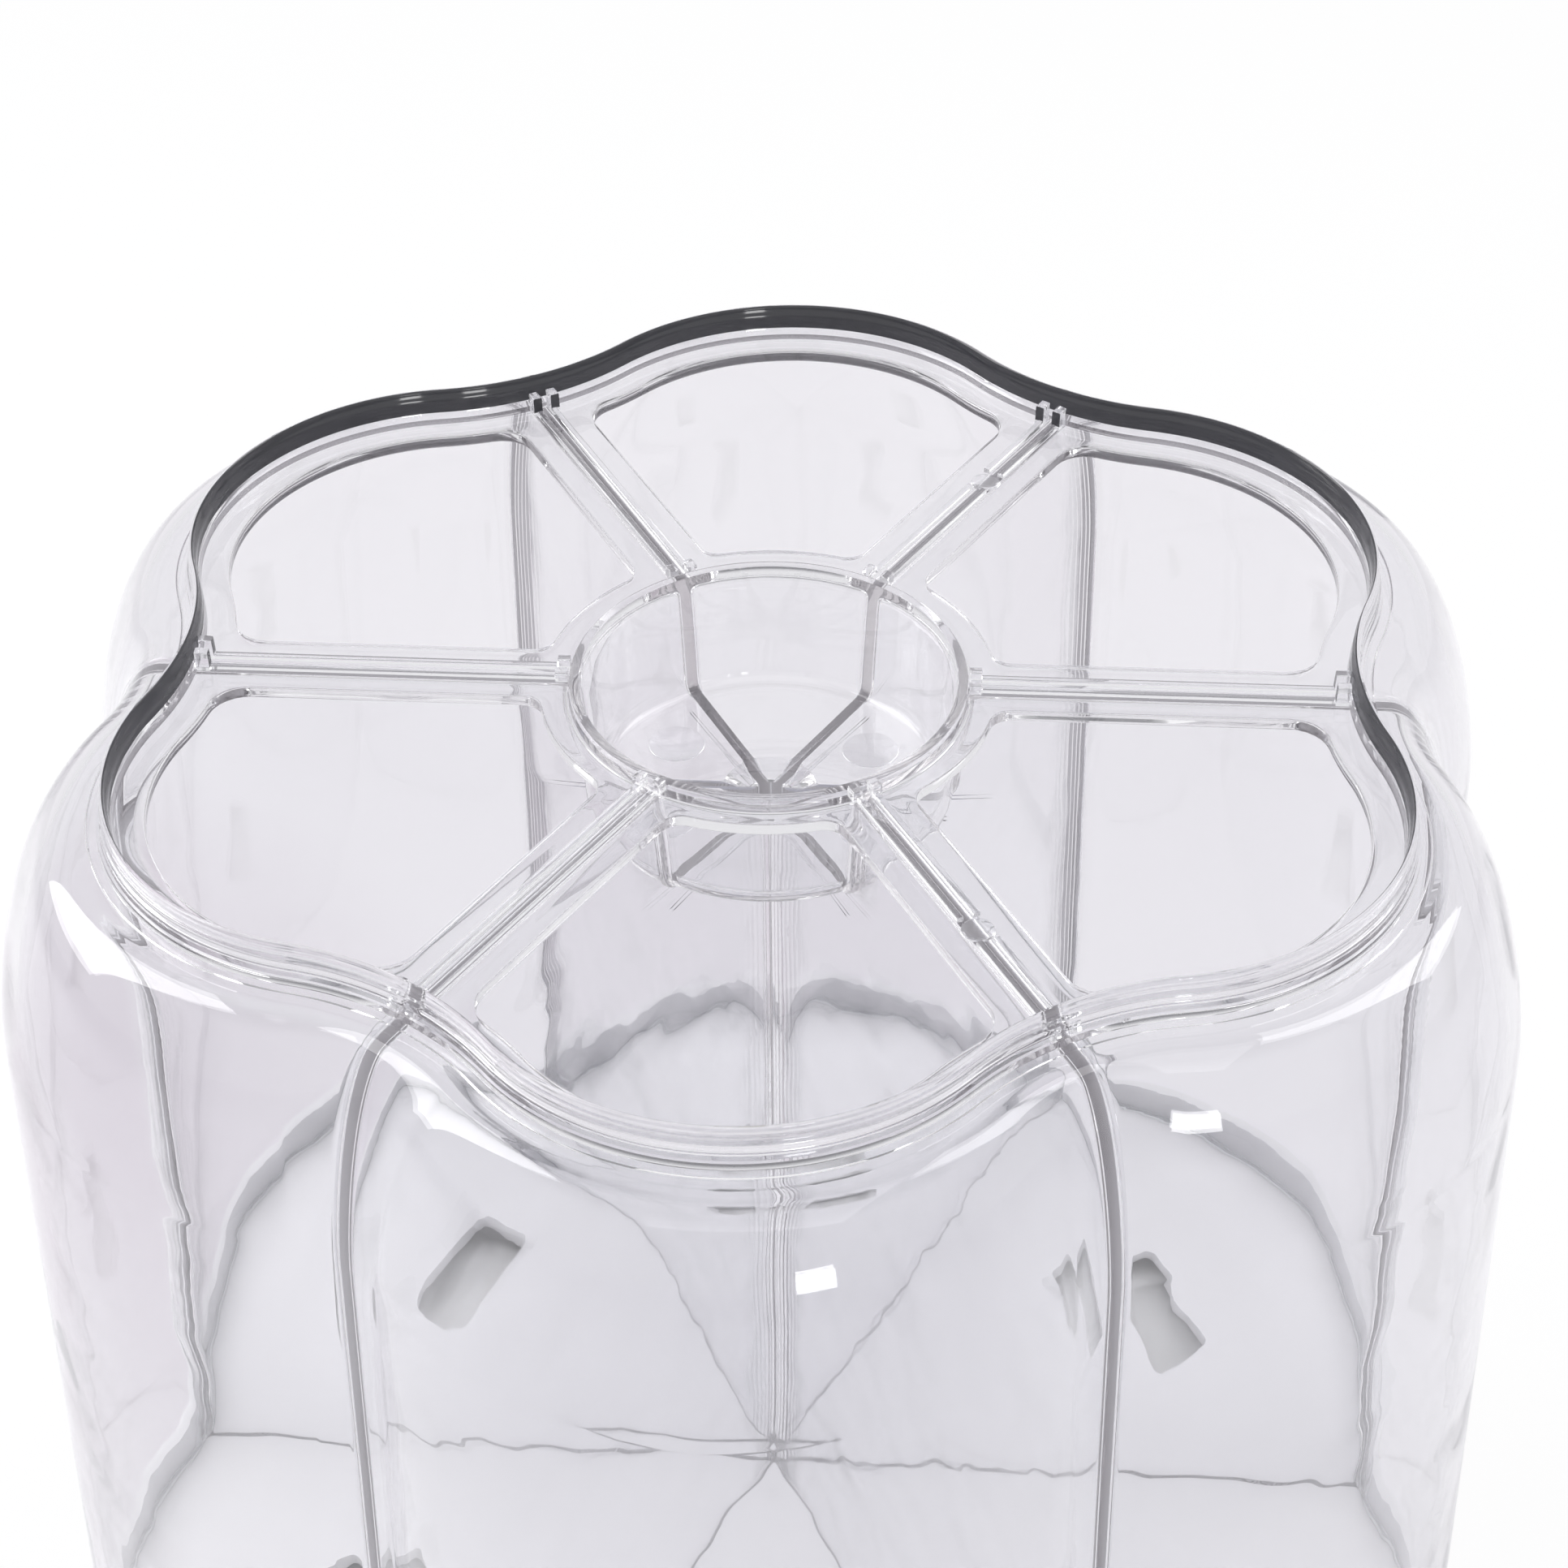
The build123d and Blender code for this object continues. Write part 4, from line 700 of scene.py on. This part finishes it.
# Surround: white to the eye. It lights the object from a pale horizon with a greyer ceiling, and
# polished faces mirror a pale cove with a dark lid. Heights are the Z of a direction.
CEILING_START, CEILING_END, LID_START, LID_END = 0.5, 0.9, 0.68, 0.88
world = bpy.data.worlds.new("studio")
bpy.context.scene.world = world
world.use_nodes = True
tree = world.node_tree
tree.nodes.clear()
out = add(tree, "ShaderNodeOutputWorld")
sky = add(tree, "ShaderNodeTexCoord")
height = add(tree, "ShaderNodeSeparateXYZ", links={0: (sky, "Generated")})
links = {"Value": (height, "Z")}
ceiling = add(tree, "ShaderNodeMapRange", links=links, From_Min=CEILING_START, From_Max=CEILING_END)
tone = add(tree, "ShaderNodeMix", {"data_type": "RGBA"}, {"Factor": (ceiling, 0)})
tone.inputs[6].default_value, tone.inputs[7].default_value = linear("#f4f4f5"), linear("#9c9c9f")
soft = add(tree, "ShaderNodeBackground", links={"Color": (tone, 2)}, Strength=1.05)
lid = add(tree, "ShaderNodeMapRange", links=links, From_Min=LID_START, From_Max=LID_END)
cove = add(tree, "ShaderNodeMix", {"data_type": "RGBA"}, {"Factor": (lid, 0)})
cove.inputs[6].default_value, cove.inputs[7].default_value = linear("#ededef"), linear("#828286")
room = add(tree, "ShaderNodeBackground", links={"Color": (cove, 2)}, Strength=1.0)
white = add(tree, "ShaderNodeBackground", Color=(1, 1, 1, 1), Strength=1.0)
path = add(tree, "ShaderNodeLightPath")
mirrored = add(tree, "ShaderNodeMixShader", links={0: (path, "Is Glossy Ray"), 1: (soft, 0), 2: (room, 0)})
mix = add(tree, "ShaderNodeMixShader", links={0: (path, "Is Camera Ray"), 1: (mirrored, 0), 2: (white, 0)})
tree.links.new(mix.outputs[0], out.inputs["Surface"])

# Lamps: two tall soft boxes whose reflections stand on the left and right shoulders, a small one low in
# front that the front walls mirror as sharp rectangles, and a weak wide fill above.
AIM = Vector((0, 0, 0.3))


def softbox(name, turn, height, distance, width, depth, radiance):
    """A rectangular lamp that faces the hopper, by its angle from the front and above the table in degrees.

    Distance, width and depth are in metres. Its power is radiance times pi times its area."""
    around, above = radians(turn), radians(height)
    heading = Vector((sin(around) * cos(above), -cos(around) * cos(above), sin(above)))
    lamp = bpy.data.lights.new(name, "AREA")
    lamp.shape, lamp.size, lamp.size_y = "RECTANGLE", width, depth
    lamp.energy = radiance * pi * width * depth
    holder = bpy.data.objects.new(name, lamp)
    facing = heading.to_track_quat("Z", "Y").to_matrix().to_4x4()
    holder.matrix_world = Matrix.Translation(AIM + heading * distance) @ facing
    bpy.context.scene.collection.objects.link(holder)


softbox("left_softbox", -100, 36, 1.6, 0.9, 1.6, 3.2)
softbox("right_softbox", 110, 44, 1.6, 0.7, 1.4, 2.4)
softbox("front_softbox", 21, 3, 1.6, 0.26, 0.22, 8.0)
softbox("front_fill", 4, 66, 2.0, 1.8, 1.8, 0.6)

# Camera: a short telephoto view from above the button side, fitted to the rim and the windows. Angles are
# in degrees, the lens and the sensor in millimetres.
ELEVATION, AZIMUTH, ROLL = radians(38.707), radians(3.687), radians(-0.433)
DISTANCE, TARGET = 595.57, np.array([2.737, 0.0, RIM_TOP - 32.883])
LENS, SENSOR, NEAREST = 70.92, 36.0, 10
back = np.array([sin(AZIMUTH) * cos(ELEVATION), -cos(AZIMUTH) * cos(ELEVATION), sin(ELEVATION)])
right = np.array([cos(AZIMUTH), sin(AZIMUTH), 0.0])
up = np.cross(back, right)
axes = np.stack([cos(ROLL) * right + sin(ROLL) * up, cos(ROLL) * up - sin(ROLL) * right, back], axis=1)
view = np.eye(4)
view[:3, :3] = axes
view[:3, 3] = (TARGET + DISTANCE * back) * MM
lens = bpy.data.cameras.new("camera")
lens.sensor_width = SENSOR
lens.lens = LENS
lens.clip_start = NEAREST * MM
camera = bpy.data.objects.new("camera", lens)
bpy.context.scene.collection.objects.link(camera)
camera.matrix_world = Matrix(view.tolist())
bpy.context.scene.camera = camera
bpy.context.scene.view_settings.view_transform = "Standard"

# light crosses up to a dozen clear walls, and is thrown back and forth inside them
cycles = bpy.context.scene.cycles
cycles.max_bounces = cycles.glossy_bounces = BOUNCES
cycles.transmission_bounces = cycles.transparent_max_bounces = BOUNCES
